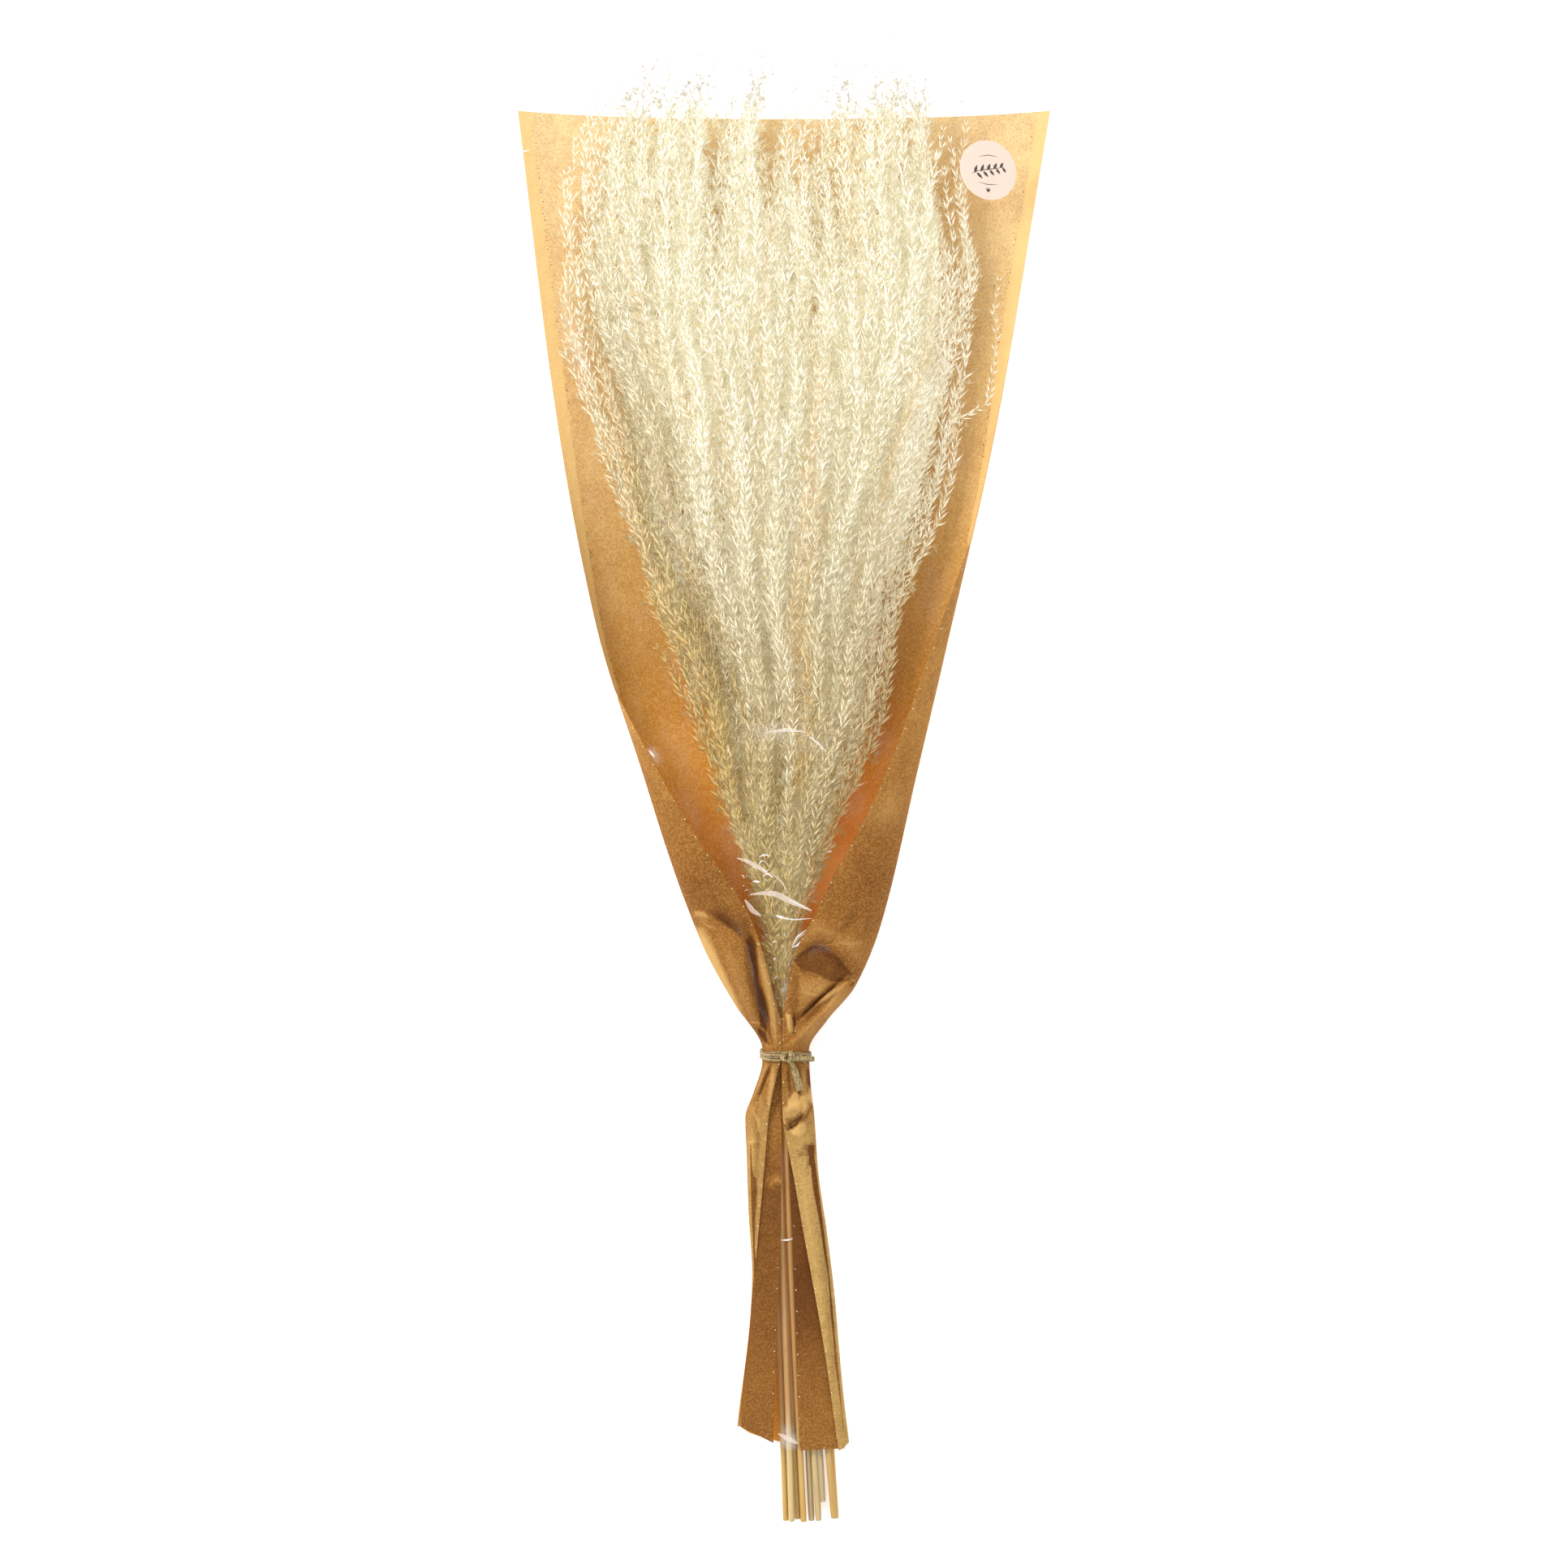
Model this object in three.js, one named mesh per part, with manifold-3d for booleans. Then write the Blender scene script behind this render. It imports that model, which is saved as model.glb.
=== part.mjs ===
// A tied bundle of dried miscanthus in a flower sleeve, lying on its back.
// Ten stems, each ending in a feathery plume, lie in a sleeve that has a kraft paper back and a clear film
// front. The paper's two sides fold over the front in a V, a raffia tie gathers the sleeve into a neck, and
// the paper opens again below it around the cut stems. A round label sits on the film.
//
// Units are millimetres, +Z up. The model is drawn with +Y running from the tie (y = 0) to the plume tips
// and x = 0 on the neck, and the last lines move the origin to the middle of the underside.

import * as THREE from "three";
import Module from "manifold-3d";
import { mergeVertices } from "three/addons/utils/BufferGeometryUtils.js";

const wasm = await Module();
wasm.setup();

// ---- Driving dimensions -----------------------------------------------------------------------------

const CUT_END_Y = -241; // where the stems were cut
const TIP_Y = 514; // the highest plume tip
const SLEEVE_TOP_Y = 485;
const SLEEVE_FOOT_Y = -200;
const SLEEVE_HALF_WIDTH = 136.5; // at the open mouth

const PAPER = 0.6; // stands in for a 0.15 mm kraft sheet
const FILM = 0.4; // stands in for a 0.04 mm film
const GAP = 0.35; // kept between pieces that touch on the real bundle

const STEM_D = 2.7;
const STEM_PITCH = 3.4; // between neighbours in the neck
const NECK_CENTRE_X = 0.9;

const SEAM_INSET = 7; // the film's weld, in from the paper's long edges
const TIE_WIDTH = 4.6;
const TIE_THICK = 1.1;
const LABEL_D = 30;
const LABEL_THICK = 0.35;
const LABEL_AT = { x: 104.5, y: 454 };
const STEM_BAND_Y = -95;
const BAND_WIDTH = 1;
const BAND_THICK = 0.3;

// ---- Curves and solids ------------------------------------------------------------------------------

// A smooth function through [position, value] pairs that never overshoots them.
function through(pairs) {
  const slope = pairs.slice(1).map(([x, v], i) => (v - pairs[i][1]) / (x - pairs[i][0]));
  const tangent = pairs.map((_, i) => {
    const before = slope[i - 1] ?? slope[0];
    const after = slope[i] ?? slope[slope.length - 1];
    return before * after <= 0 ? 0 : (2 * before * after) / (before + after);
  });
  return (x) => {
    const last = pairs.length - 2;
    let i = 0;
    while (i < last && x > pairs[i + 1][0]) i++;
    const [x0, v0] = pairs[i];
    const [x1, v1] = pairs[i + 1];
    const w = x1 - x0;
    const t = THREE.MathUtils.clamp((x - x0) / w, 0, 1);
    const rise = t * t * (3 - 2 * t);
    return v0 + (v1 - v0) * rise + w * (t * (1 - t) ** 2 * tangent[i] - t * t * (1 - t) * tangent[i + 1]);
  };
}

// The same number of points, evenly spaced along a line of points.
function evenly(points, count) {
  const along = [0];
  for (let i = 1; i < points.length; i++) along.push(along[i - 1] + points[i].distanceTo(points[i - 1]));
  const total = along[along.length - 1];
  let i = 1;
  return Array.from({ length: count }, (_, k) => {
    const at = (total * k) / (count - 1);
    while (i < points.length - 1 && along[i] < at) i++;
    const t = (at - along[i - 1]) / (along[i] - along[i - 1]);
    return points[i - 1].clone().lerp(points[i], t);
  });
}

function geometryOf(points, faces) {
  const geometry = new THREE.BufferGeometry();
  const numbers = points.flatMap((p) => [p.x, p.y, p.z]);
  geometry.setAttribute("position", new THREE.Float32BufferAttribute(numbers, 3));
  geometry.setIndex(faces);
  geometry.computeVertexNormals();
  return geometry;
}

// The same grid of points, moved along its normals. Rows run one way and columns the other, and the upper
// side is the one that row x column faces.
function offset(rows, distance) {
  const clampRow = (j) => rows[THREE.MathUtils.clamp(j, 0, rows.length - 1)];
  return rows.map((row, j) =>
    row.map((point, i) => {
      const alongRow = row[Math.min(i + 1, row.length - 1)].clone().sub(row[Math.max(i - 1, 0)]);
      const acrossRows = clampRow(j + 1)[i].clone().sub(clampRow(j - 1)[i]);
      return point.clone().addScaledVector(alongRow.cross(acrossRows).normalize(), distance);
    }),
  );
}

// A closed sheet of even thickness about a grid of points.
function sheet(rows, thickness) {
  const height = rows.length;
  const width = rows[0].length;
  const upper = offset(rows, thickness / 2).flat();
  const lower = offset(rows, -thickness / 2).flat();
  const under = upper.length;
  const at = (j, i) => j * width + i;
  const faces = [];
  const quad = (a, b, c, d) => faces.push(a, b, c, a, c, d);
  for (let j = 0; j < height - 1; j++) {
    for (let i = 0; i < width - 1; i++) {
      quad(at(j, i), at(j, i + 1), at(j + 1, i + 1), at(j + 1, i));
      quad(under + at(j, i), under + at(j + 1, i), under + at(j + 1, i + 1), under + at(j, i + 1));
    }
    quad(at(j, 0), at(j + 1, 0), under + at(j + 1, 0), under + at(j, 0));
    const i = width - 1;
    quad(at(j, i), under + at(j, i), under + at(j + 1, i), at(j + 1, i));
  }
  for (let i = 0; i < width - 1; i++) {
    quad(at(0, i), under + at(0, i), under + at(0, i + 1), at(0, i + 1));
    const j = height - 1;
    quad(at(j, i), at(j, i + 1), under + at(j, i + 1), under + at(j, i));
  }
  return geometryOf([...upper, ...lower], faces);
}

// A closed skin over oval sections that stand across +Y.
function loft(sections, sides) {
  const points = [];
  const faces = [];
  for (const { centre, halfWidth, halfDepth } of sections)
    for (let k = 0; k < sides; k++) {
      const a = (2 * Math.PI * k) / sides;
      points.push(centre.clone().add(new THREE.Vector3(halfWidth * Math.sin(a), 0, halfDepth * Math.cos(a))));
    }
  for (let j = 0; j < sections.length - 1; j++)
    for (let k = 0; k < sides; k++) {
      const a = j * sides + k;
      const b = j * sides + ((k + 1) % sides);
      faces.push(a, b, b + sides, a, b + sides, a + sides);
    }
  const first = points.push(sections[0].centre.clone()) - 1;
  const last = points.push(sections[sections.length - 1].centre.clone()) - 1;
  const top = (sections.length - 1) * sides;
  for (let k = 0; k < sides; k++) {
    faces.push(first, (k + 1) % sides, k);
    faces.push(last, top + k, top + ((k + 1) % sides));
  }
  return geometryOf(points, faces);
}

function solidOf(geometry) {
  const bare = geometry.index ? geometry.toNonIndexed() : geometry.clone();
  bare.deleteAttribute("normal");
  bare.deleteAttribute("uv");
  const merged = mergeVertices(bare, 1e-4);
  const vertProperties = merged.attributes.position.array;
  const triVerts = new Uint32Array(merged.index.array);
  return new wasm.Manifold(new wasm.Mesh({ numProp: 3, vertProperties, triVerts }));
}

function geometryFrom(solid) {
  const { vertProperties, triVerts } = solid.getMesh();
  const geometry = new THREE.BufferGeometry();
  geometry.setAttribute("position", new THREE.BufferAttribute(vertProperties, 3));
  geometry.setIndex(new THREE.BufferAttribute(triVerts, 1));
  geometry.computeVertexNormals();
  return geometry;
}

function piece(name, geometry, { color, roughness, opacity = 1 }) {
  const material = new THREE.MeshStandardMaterial({ color, roughness, metalness: 0 });
  material.opacity = opacity;
  material.transparent = opacity < 1;
  const mesh = new THREE.Mesh(geometry, material);
  mesh.name = name;
  return mesh;
}

const KRAFT = { color: 0xc99a5b, roughness: 0.85 };
const CLEAR = { color: 0xf4f6f6, roughness: 0.08, opacity: 0.2 };
const RAFFIA = { color: 0xd9c58a, roughness: 0.7 };
const LABEL = { color: 0xf6dccb, roughness: 0.45 };
const STRAW = { color: 0xcdb46a, roughness: 0.55 };
const PLUME = { color: 0xf1e7c4, roughness: 0.9 };

// ---- The paper sleeve -------------------------------------------------------------------------------

const NECK_HALF = 3; // the straight part under the tie

// Its outline from above, left and right, and the free edges of the two flaps that lie over the front.
const outline = {
  left: through([
    [SLEEVE_FOOT_Y, -23],
    [-112, -16],
    [-80, -18.5],
    [-33, -18.5],
    [-NECK_HALF, -11.2],
    [NECK_HALF, -11.2],
    [26, -25],
    [55, -41],
    [97, -57],
    [147, -73],
    [220, -96],
    [330, -117],
    [SLEEVE_TOP_Y, -SLEEVE_HALF_WIDTH],
  ]),
  right: through([
    [SLEEVE_FOOT_Y, 33.5],
    [-124, 24.5],
    [-33, 16],
    [-NECK_HALF, 13],
    [NECK_HALF, 13],
    [18, 22],
    [36, 37],
    [67, 49.5],
    [147, 68.5],
    [209, 83],
    [326, 109],
    [SLEEVE_TOP_Y, SLEEVE_HALF_WIDTH],
  ]),
};
const flapStart = { left: 188, right: 265 };
const flapEdge = {
  left: through([
    [SLEEVE_FOOT_Y, -22.5],
    [-112, -15],
    [-39, -7.5],
    [0, -2.2],
    [26, -7.5],
    [63, -14],
    [86, -25.5],
    [111, -43],
    [159, -71],
    [flapStart.left, -86.5],
  ]),
  right: through([
    [SLEEVE_FOOT_Y, 26.5],
    [-116, 10],
    [-41, 1],
    [0, 1.6],
    [26, 2.2],
    [42, 6],
    [70, 14],
    [92, 26.5],
    [118, 40],
    [151, 54],
    [222, 80],
    [flapStart.right, 95.6],
  ]),
};

// How high the back lifts off the table, and how far the front stands above the back.
const backLift = through([
  [-40, 0],
  [-7, 2.2],
  [7, 2.2],
  [45, 0],
]);
const wrapDepth = through([
  [SLEEVE_FOOT_Y, 12],
  [-90, 12.5],
  [-50, 14.5],
  [-15, 18],
  [-NECK_HALF, 19],
  [NECK_HALF, 19],
  [12, 20],
  [30, 25],
  [60, 32],
  [100, 38],
  [150, 42],
  [flapStart.left, 44],
]);
// How far in from the outline the back starts to turn up.
const turnIn = through([
  [SLEEVE_FOOT_Y, 7],
  [0, 9],
  [60, 21],
  [150, 32],
  [flapStart.right, 42],
  [SLEEVE_TOP_Y, 60],
]);
// Above the flaps the paper lies open, and its sides turn up less and less.
const OPEN_OVER = 180;
const MOUTH_TURN_DEG = 50;
function turnAngle(side, y) {
  const open = THREE.MathUtils.smoothstep(y - flapStart[side], 0, OPEN_OVER);
  return THREE.MathUtils.degToRad(90 + (MOUTH_TURN_DEG - 90) * open);
}

// One side of the sleeve's section at y, from the middle of the back to the free edge.
function sideSection(side, y) {
  const sign = side === "left" ? -1 : 1;
  const reach = sign * outline[side](y);
  const overlap = y < flapStart[side] ? Math.max(reach - sign * flapEdge[side](y), 0.05) : 0;
  const base = backLift(y) + PAPER / 2;
  const rise = wrapDepth(y) / 2 - PAPER / 2;
  const turn = Math.min(turnIn(y), reach - 2);
  const angle = turnAngle(side, y);
  const across = turn / Math.sin(angle);
  const points = [new THREE.Vector3(0, y, base)];
  const add = (x, z) => points.push(new THREE.Vector3(sign * x, y, base + z));
  const ARC_STEPS = 14;
  for (let i = 0; i <= ARC_STEPS; i++) {
    const a = (angle * i) / ARC_STEPS;
    add(reach - turn + across * Math.sin(a), rise * (1 - Math.cos(a)));
  }
  if (overlap > 0) {
    const fold = Math.min(turn, 0.6 * (reach + 4));
    const end = overlap < fold ? Math.PI - Math.asin((fold - overlap) / fold) : Math.PI;
    for (let i = 1; i <= ARC_STEPS; i++) {
      const a = Math.PI / 2 + ((end - Math.PI / 2) * i) / ARC_STEPS;
      add(reach - fold + fold * Math.sin(a), rise * (1 - Math.cos(a)));
    }
    if (overlap > fold + 0.1) add(reach - overlap, 2 * rise);
  }
  return points;
}

const SLEEVE_COLUMNS = 29;
function sleeveSection(y) {
  const left = sideSection("left", y).reverse();
  const right = sideSection("right", y).slice(1);
  return evenly([...left, ...right], SLEEVE_COLUMNS);
}

// Stations along the sleeve, closer together where the neck narrows.
const NECK_CROWDING = 1.3;
function stations(foot, top, countBelow, countAbove) {
  const towards = (start, end, count) =>
    Array.from({ length: count + 1 }, (_, k) => start + (end - start) * (k / count) ** NECK_CROWDING);
  return [...towards(-NECK_HALF, foot, countBelow).reverse(), ...towards(NECK_HALF, top, countAbove)];
}

function kraftSleeve() {
  const rows = stations(SLEEVE_FOOT_Y, SLEEVE_TOP_Y, 8, 18).map(sleeveSection);
  return piece("kraft_sleeve", sheet(rows, PAPER), KRAFT);
}

// ---- The clear film front ---------------------------------------------------------------------------

const FILM_FOOT_Y = -204;
const FILM_TOP_Y = 480;
const filmCrown = through([
  [FILM_FOOT_Y, 8.8],
  [-110, 9],
  [-50, 11.8],
  [0, 15.6],
  [30, 19],
  [60, 25],
  [100, 34],
  [150, 43],
  [250, 54],
  [350, 59],
  [425, 59],
  [FILM_TOP_Y, 52],
]);
const CROWN_FULLNESS = 3.2;

// The point where the film is welded to the paper's inner face, an inset in from the free edge.
function weld(side, y) {
  const atPaper = THREE.MathUtils.clamp(y, SLEEVE_FOOT_Y, SLEEVE_TOP_Y);
  const points = evenly(sideSection(side, atPaper), 200);
  const total = points.slice(1).reduce((sum, p, i) => sum + p.distanceTo(points[i]), 0);
  const inset = Math.min(SEAM_INSET, 0.3 * Math.abs(outline[side](atPaper)));
  const at = Math.round((1 - inset / total) * (points.length - 1));
  const run = points[at].clone().sub(points[at - 1]).normalize();
  const inward = new THREE.Vector3(-run.z, 0, run.x).multiplyScalar(side === "left" ? -1 : 1);
  return points[at].clone().addScaledVector(inward, PAPER / 2 + 2.5 * GAP + FILM / 2);
}

const filmLeftFoot = through([
  [FILM_FOOT_Y, -3],
  [-100, -6],
  [-30, -6.4],
]);
const FILM_COLUMNS = 15;
function filmSection(y) {
  const a = weld("left", y);
  const b = weld("right", y);
  if (y < -30) a.set(filmLeftFoot(y), y, filmCrown(y));
  if (y < -30) b.set(outline.right(y) - 8, y, filmCrown(y));
  const middle = (a.z + b.z) / 2;
  return Array.from({ length: FILM_COLUMNS }, (_, i) => {
    const u = (2 * i) / (FILM_COLUMNS - 1) - 1;
    const crown = 1 - Math.abs(u) ** CROWN_FULLNESS;
    const point = a.clone().lerp(b, (u + 1) / 2);
    return new THREE.Vector3(point.x, y, point.z + (filmCrown(y) - middle) * crown);
  });
}

const filmRows = stations(FILM_FOOT_Y, FILM_TOP_Y, 6, 16).map(filmSection);

function clearFront() {
  return piece("clear_front", sheet(filmRows, FILM), CLEAR);
}

// The label follows the film: a second sheet just above it, cut to a disc.
function roundLabel() {
  const above = FILM / 2 + GAP + LABEL_THICK / 2;
  const patch = solidOf(sheet(offset(filmRows, above), LABEL_THICK));
  const cutter = new THREE.CylinderGeometry(LABEL_D / 2, LABEL_D / 2, 200, 36);
  cutter.rotateX(Math.PI / 2);
  cutter.translate(LABEL_AT.x, LABEL_AT.y, 0);
  return piece("round_label", geometryFrom(patch.intersect(solidOf(cutter))), LABEL);
}

// ---- The stems and their plumes ---------------------------------------------------------------------

// Two rows in the neck, six below and four above. Each stem leans out by its own angle above the tie, ends
// at its own place below it, and carries its plume between two distances from the tie.
const LOWER_ROW = [
  { lean: -12.2, cutX: 0.6, from: 165, to: 455 },
  { lean: -7.6, cutX: 6.8, from: 90, to: 480 },
  { lean: -3.1, cutX: 9.9, from: 150, to: TIP_Y },
  { lean: 1.4, cutX: 14.6, from: 60, to: 440 },
  { lean: 5.9, cutX: 18.2, from: 130, to: TIP_Y },
  { lean: 10.3, cutX: 26, from: 150, to: 445 },
];
const UPPER_ROW = [
  { lean: -8.8, cutX: 3.7, from: 120, to: 470 },
  { lean: -4.6, cutX: 9.8, from: 55, to: 500 },
  { lean: 0.4, cutX: 17.8, from: 45, to: 430 },
  { lean: 5.4, cutX: 25.8, from: 90, to: 490 },
];
const lowerHeight = through([
  [CUT_END_Y, 2.7],
  [-110, 3],
  [0, 9.2],
  [300, 14],
  [TIP_Y, 15],
]);
const rowGap = through([
  [CUT_END_Y, 3.4],
  [0, 3.4],
  [100, 9],
  [350, 23.2],
  [430, 22.5],
  [TIP_Y, 14],
]);
const upperHeight = (y) => lowerHeight(y) + rowGap(y);

// Where the stem at one place in its row is at y: straight out above the tie, and to its cut end below.
function stemX(row, place, y) {
  const neckX = NECK_CENTRE_X + (place - (row.length - 1) / 2) * STEM_PITCH;
  const { lean, cutX } = row[place];
  if (y > 0) return neckX + y * Math.tan(THREE.MathUtils.degToRad(lean));
  return neckX + ((cutX - neckX) * y) / CUT_END_Y;
}

const STEM_SIDES = 8;
const PLUME_SIDES = 10;
const PLUME_SECTIONS = 9;
const plumeShape = through([
  [0, 0.3],
  [0.15, 0.72],
  [0.35, 1],
  [0.75, 0.96],
  [0.92, 0.6],
  [1, 0.14],
]);

const FAN_STEP_DEG = 4.5; // between neighbours in a row
function stemAndPlume(number, row, place, height) {
  const at = (y) => new THREE.Vector3(stemX(row, place, y), y, height(y));
  const stem = row[place];
  const label = String(number).padStart(2, "0");

  const culmSections = [CUT_END_Y, -170, STEM_BAND_Y, -50, -NECK_HALF, NECK_HALF, stem.from - GAP].map((y) => {
    return { centre: at(y), halfWidth: STEM_D / 2, halfDepth: STEM_D / 2 };
  });
  const culm = piece(`stem_${label}`, loft(culmSections, STEM_SIDES), STRAW);

  const sections = Array.from({ length: PLUME_SECTIONS }, (_, i) => {
    const t = i / (PLUME_SECTIONS - 1);
    const y = stem.from + (stem.to - stem.from) * t;
    const spacing = STEM_PITCH + y * Math.tan(THREE.MathUtils.degToRad(FAN_STEP_DEG));
    const halfWidth = 0.44 * spacing * plumeShape(t);
    return { centre: at(y), halfWidth, halfDepth: Math.min(0.82 * halfWidth, 11.4) };
  });
  return [culm, piece(`plume_${label}`, loft(sections, PLUME_SIDES), PLUME)];
}

function bundle() {
  const lower = LOWER_ROW.flatMap((_, i) => stemAndPlume(1 + i, LOWER_ROW, i, lowerHeight));
  const upper = UPPER_ROW.flatMap((_, i) => stemAndPlume(1 + LOWER_ROW.length + i, UPPER_ROW, i, upperHeight));
  return [...lower, ...upper];
}

// ---- Ties -------------------------------------------------------------------------------------------

// A flat ring in the XZ plane around a box with round ends, as wide along y as it is long.
function ring(low, high, corner, thick, width, y) {
  const rounded = (path, grow) => {
    const x0 = low.x - grow;
    const x1 = high.x + grow;
    const z0 = low.z - grow;
    const z1 = high.z + grow;
    const r = corner + grow;
    path.absarc(x1 - r, z1 - r, r, 0, Math.PI / 2);
    path.absarc(x0 + r, z1 - r, r, Math.PI / 2, Math.PI);
    path.absarc(x0 + r, z0 + r, r, Math.PI, 1.5 * Math.PI);
    path.absarc(x1 - r, z0 + r, r, 1.5 * Math.PI, 2 * Math.PI);
    path.closePath();
    return path;
  };
  const outer = rounded(new THREE.Shape(), thick);
  outer.holes.push(rounded(new THREE.Path(), 0));
  const geometry = new THREE.ExtrudeGeometry(outer, { depth: width, bevelEnabled: false, curveSegments: 6 });
  geometry.rotateX(Math.PI / 2);
  geometry.translate(0, y + width / 2, 0);
  return geometry;
}

const KNOT = { x: 3, y: -0.4, halfWidth: 5.2, halfLength: 3.4, halfDepth: 2.7 };
const TAILS = [
  { x: 9.6, y: -1, length: 15, width: 3.6, thick: 2.2, turnDeg: -4 },
  { x: 6.2, y: -8.6, length: 15, width: 3, thick: 0.9, turnDeg: -66 },
];

function raffiaTie() {
  const low = { x: outline.left(0) - 0.9, z: backLift(0) - 0.5 };
  const high = { x: outline.right(0) + 0.9, z: backLift(0) + wrapDepth(0) + 0.6 };
  const band = ring(low, high, 10, TIE_THICK, TIE_WIDTH, 0);

  const knot = new THREE.SphereGeometry(1, 12, 8);
  knot.scale(KNOT.halfWidth, KNOT.halfLength, KNOT.halfDepth);
  knot.translate(KNOT.x, KNOT.y, high.z + KNOT.halfDepth);

  const tails = TAILS.map(({ x, y, length, width, thick, turnDeg }) => {
    const tail = new THREE.BoxGeometry(length, width, thick);
    tail.rotateZ(THREE.MathUtils.degToRad(turnDeg));
    tail.translate(x, y, high.z + TIE_THICK + thick / 2);
    return tail;
  });
  const whole = [band, knot, ...tails].map(solidOf).reduce((a, b) => a.add(b));
  return piece("raffia_tie", geometryFrom(whole), RAFFIA);
}

// A thin elastic that keeps the left group of five stems together below the tie.
function stemBand() {
  const y = STEM_BAND_Y;
  const reach = STEM_D / 2 + 1.6 * GAP;
  const low = { x: stemX(LOWER_ROW, 0, y) - reach, z: lowerHeight(y) - reach };
  const high = { x: stemX(LOWER_ROW, 2, y) + reach, z: upperHeight(y) + reach };
  return piece("stem_band", ring(low, high, STEM_D / 2, BAND_THICK, BAND_WIDTH, y), CLEAR);
}

// ---- The whole bundle -------------------------------------------------------------------------------

const bundleOfMiscanthus = new THREE.Group();
bundleOfMiscanthus.add(kraftSleeve(), clearFront(), roundLabel(), raffiaTie(), stemBand(), ...bundle());
bundleOfMiscanthus.position.y = -(TIP_Y + CUT_END_Y) / 2;

export default bundleOfMiscanthus;
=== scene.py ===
# %% [markdown]
# # A tied bundle of dried miscanthus in a paper and film sleeve
#
# The bundle is a dozen hand-sized jobs: a kraft paper sheet that folds over in a V and is gathered at a
# tie, a clear film welded to it, ten straws with feathery heads, a raffia knot and a round sticker.
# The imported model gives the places. Everything here is drawn in millimetres, with y = 0 at the tie and
# +y towards the tips, and each finished piece is moved into the model's frame in metres.

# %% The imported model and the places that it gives
import math
import bpy
import numpy as np
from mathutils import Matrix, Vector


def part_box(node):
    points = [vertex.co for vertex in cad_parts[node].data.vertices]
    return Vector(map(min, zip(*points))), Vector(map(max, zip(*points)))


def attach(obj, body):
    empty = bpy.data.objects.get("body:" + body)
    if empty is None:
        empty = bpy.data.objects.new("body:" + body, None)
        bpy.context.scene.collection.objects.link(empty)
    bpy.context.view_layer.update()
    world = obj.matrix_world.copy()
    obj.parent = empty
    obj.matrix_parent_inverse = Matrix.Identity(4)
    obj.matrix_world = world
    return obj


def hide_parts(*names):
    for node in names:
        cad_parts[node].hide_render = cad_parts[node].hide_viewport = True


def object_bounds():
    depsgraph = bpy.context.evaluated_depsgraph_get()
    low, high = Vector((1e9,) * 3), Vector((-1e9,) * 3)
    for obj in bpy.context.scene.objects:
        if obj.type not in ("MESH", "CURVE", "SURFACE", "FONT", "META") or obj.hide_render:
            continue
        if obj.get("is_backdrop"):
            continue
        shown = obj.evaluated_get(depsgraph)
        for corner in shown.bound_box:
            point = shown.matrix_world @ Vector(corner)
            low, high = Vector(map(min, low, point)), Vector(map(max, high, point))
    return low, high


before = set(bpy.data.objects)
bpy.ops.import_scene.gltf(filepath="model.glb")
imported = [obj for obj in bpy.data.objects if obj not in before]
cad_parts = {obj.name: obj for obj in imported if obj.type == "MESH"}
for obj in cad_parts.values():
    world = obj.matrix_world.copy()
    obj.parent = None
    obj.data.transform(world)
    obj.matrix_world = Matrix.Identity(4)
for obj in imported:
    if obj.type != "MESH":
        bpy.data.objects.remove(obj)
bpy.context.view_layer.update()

MM = 0.001
CUT_END = -241.0
TIE_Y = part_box("stem_01")[0][1] - CUT_END * MM
LABEL_LOW, LABEL_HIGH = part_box("round_label")
LABEL_X = (LABEL_LOW[0] + LABEL_HIGH[0]) / 2 / MM
LABEL_Y = ((LABEL_LOW[1] + LABEL_HIGH[1]) / 2 - TIE_Y) / MM
print("tie at y", round(TIE_Y, 4), "label at", round(LABEL_X, 1), round(LABEL_Y, 1))

# %% [markdown]
# ## Camera, floor and light
#
# The bundle lies on a white table and is seen from straight above through a long lens, so its edges
# hardly spread. The light is a bright, soft room with one large lamp at the upper left: the room alone
# would leave the paper flat, and a small lamp would cut hard shadows through the plumes. White hairs
# pass light to each other many times, so more diffuse bounces are allowed than usual.

# %% Studio
FRAME_WIDE = 0.805
LENS = 100.0
SENSOR = 36.0

eye = bpy.data.cameras.new("above")
eye.lens = LENS
eye.sensor_width = SENSOR
camera = bpy.data.objects.new("above", eye)
camera.location = (0.0, 0.0035, FRAME_WIDE * LENS / SENSOR + 0.02)
bpy.context.collection.objects.link(camera)
bpy.context.scene.camera = camera
bpy.context.scene.view_settings.view_transform = "Standard"


def lamp(name, place, size, power):
    """A square soft lamp aimed at the middle of the bundle."""
    light = bpy.data.lights.new(name, "AREA")
    light.size = size
    light.energy = power
    item = bpy.data.objects.new(name, light)
    item.location = place
    item.rotation_euler = (-item.location).to_track_quat("-Z", "Y").to_euler()
    bpy.context.collection.objects.link(item)


lamp("key", (-1.5, 1.3, 1.5), 0.9, 46.0)
lamp("fill", (1.6, -1.0, 1.9), 2.2, 8.0)
room = bpy.data.worlds.new("white room")
room.use_nodes = True
room.node_tree.nodes["Background"].inputs["Color"].default_value = (1.0, 1.0, 1.0, 1.0)
room.node_tree.nodes["Background"].inputs["Strength"].default_value = 0.92
bpy.context.scene.world = room
bpy.context.scene.cycles.diffuse_bounces = 10
bpy.context.scene.cycles.transparent_max_bounces = 32

# %% [markdown]
# ## Node graphs written as sums
#
# Materials and Geometry Nodes are both graphs. One small class wraps an output socket, so that
# `1 - mask` or `grain * 0.3` adds the Math node that it says, and one method adds any other node.

# %% Graph helper


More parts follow.
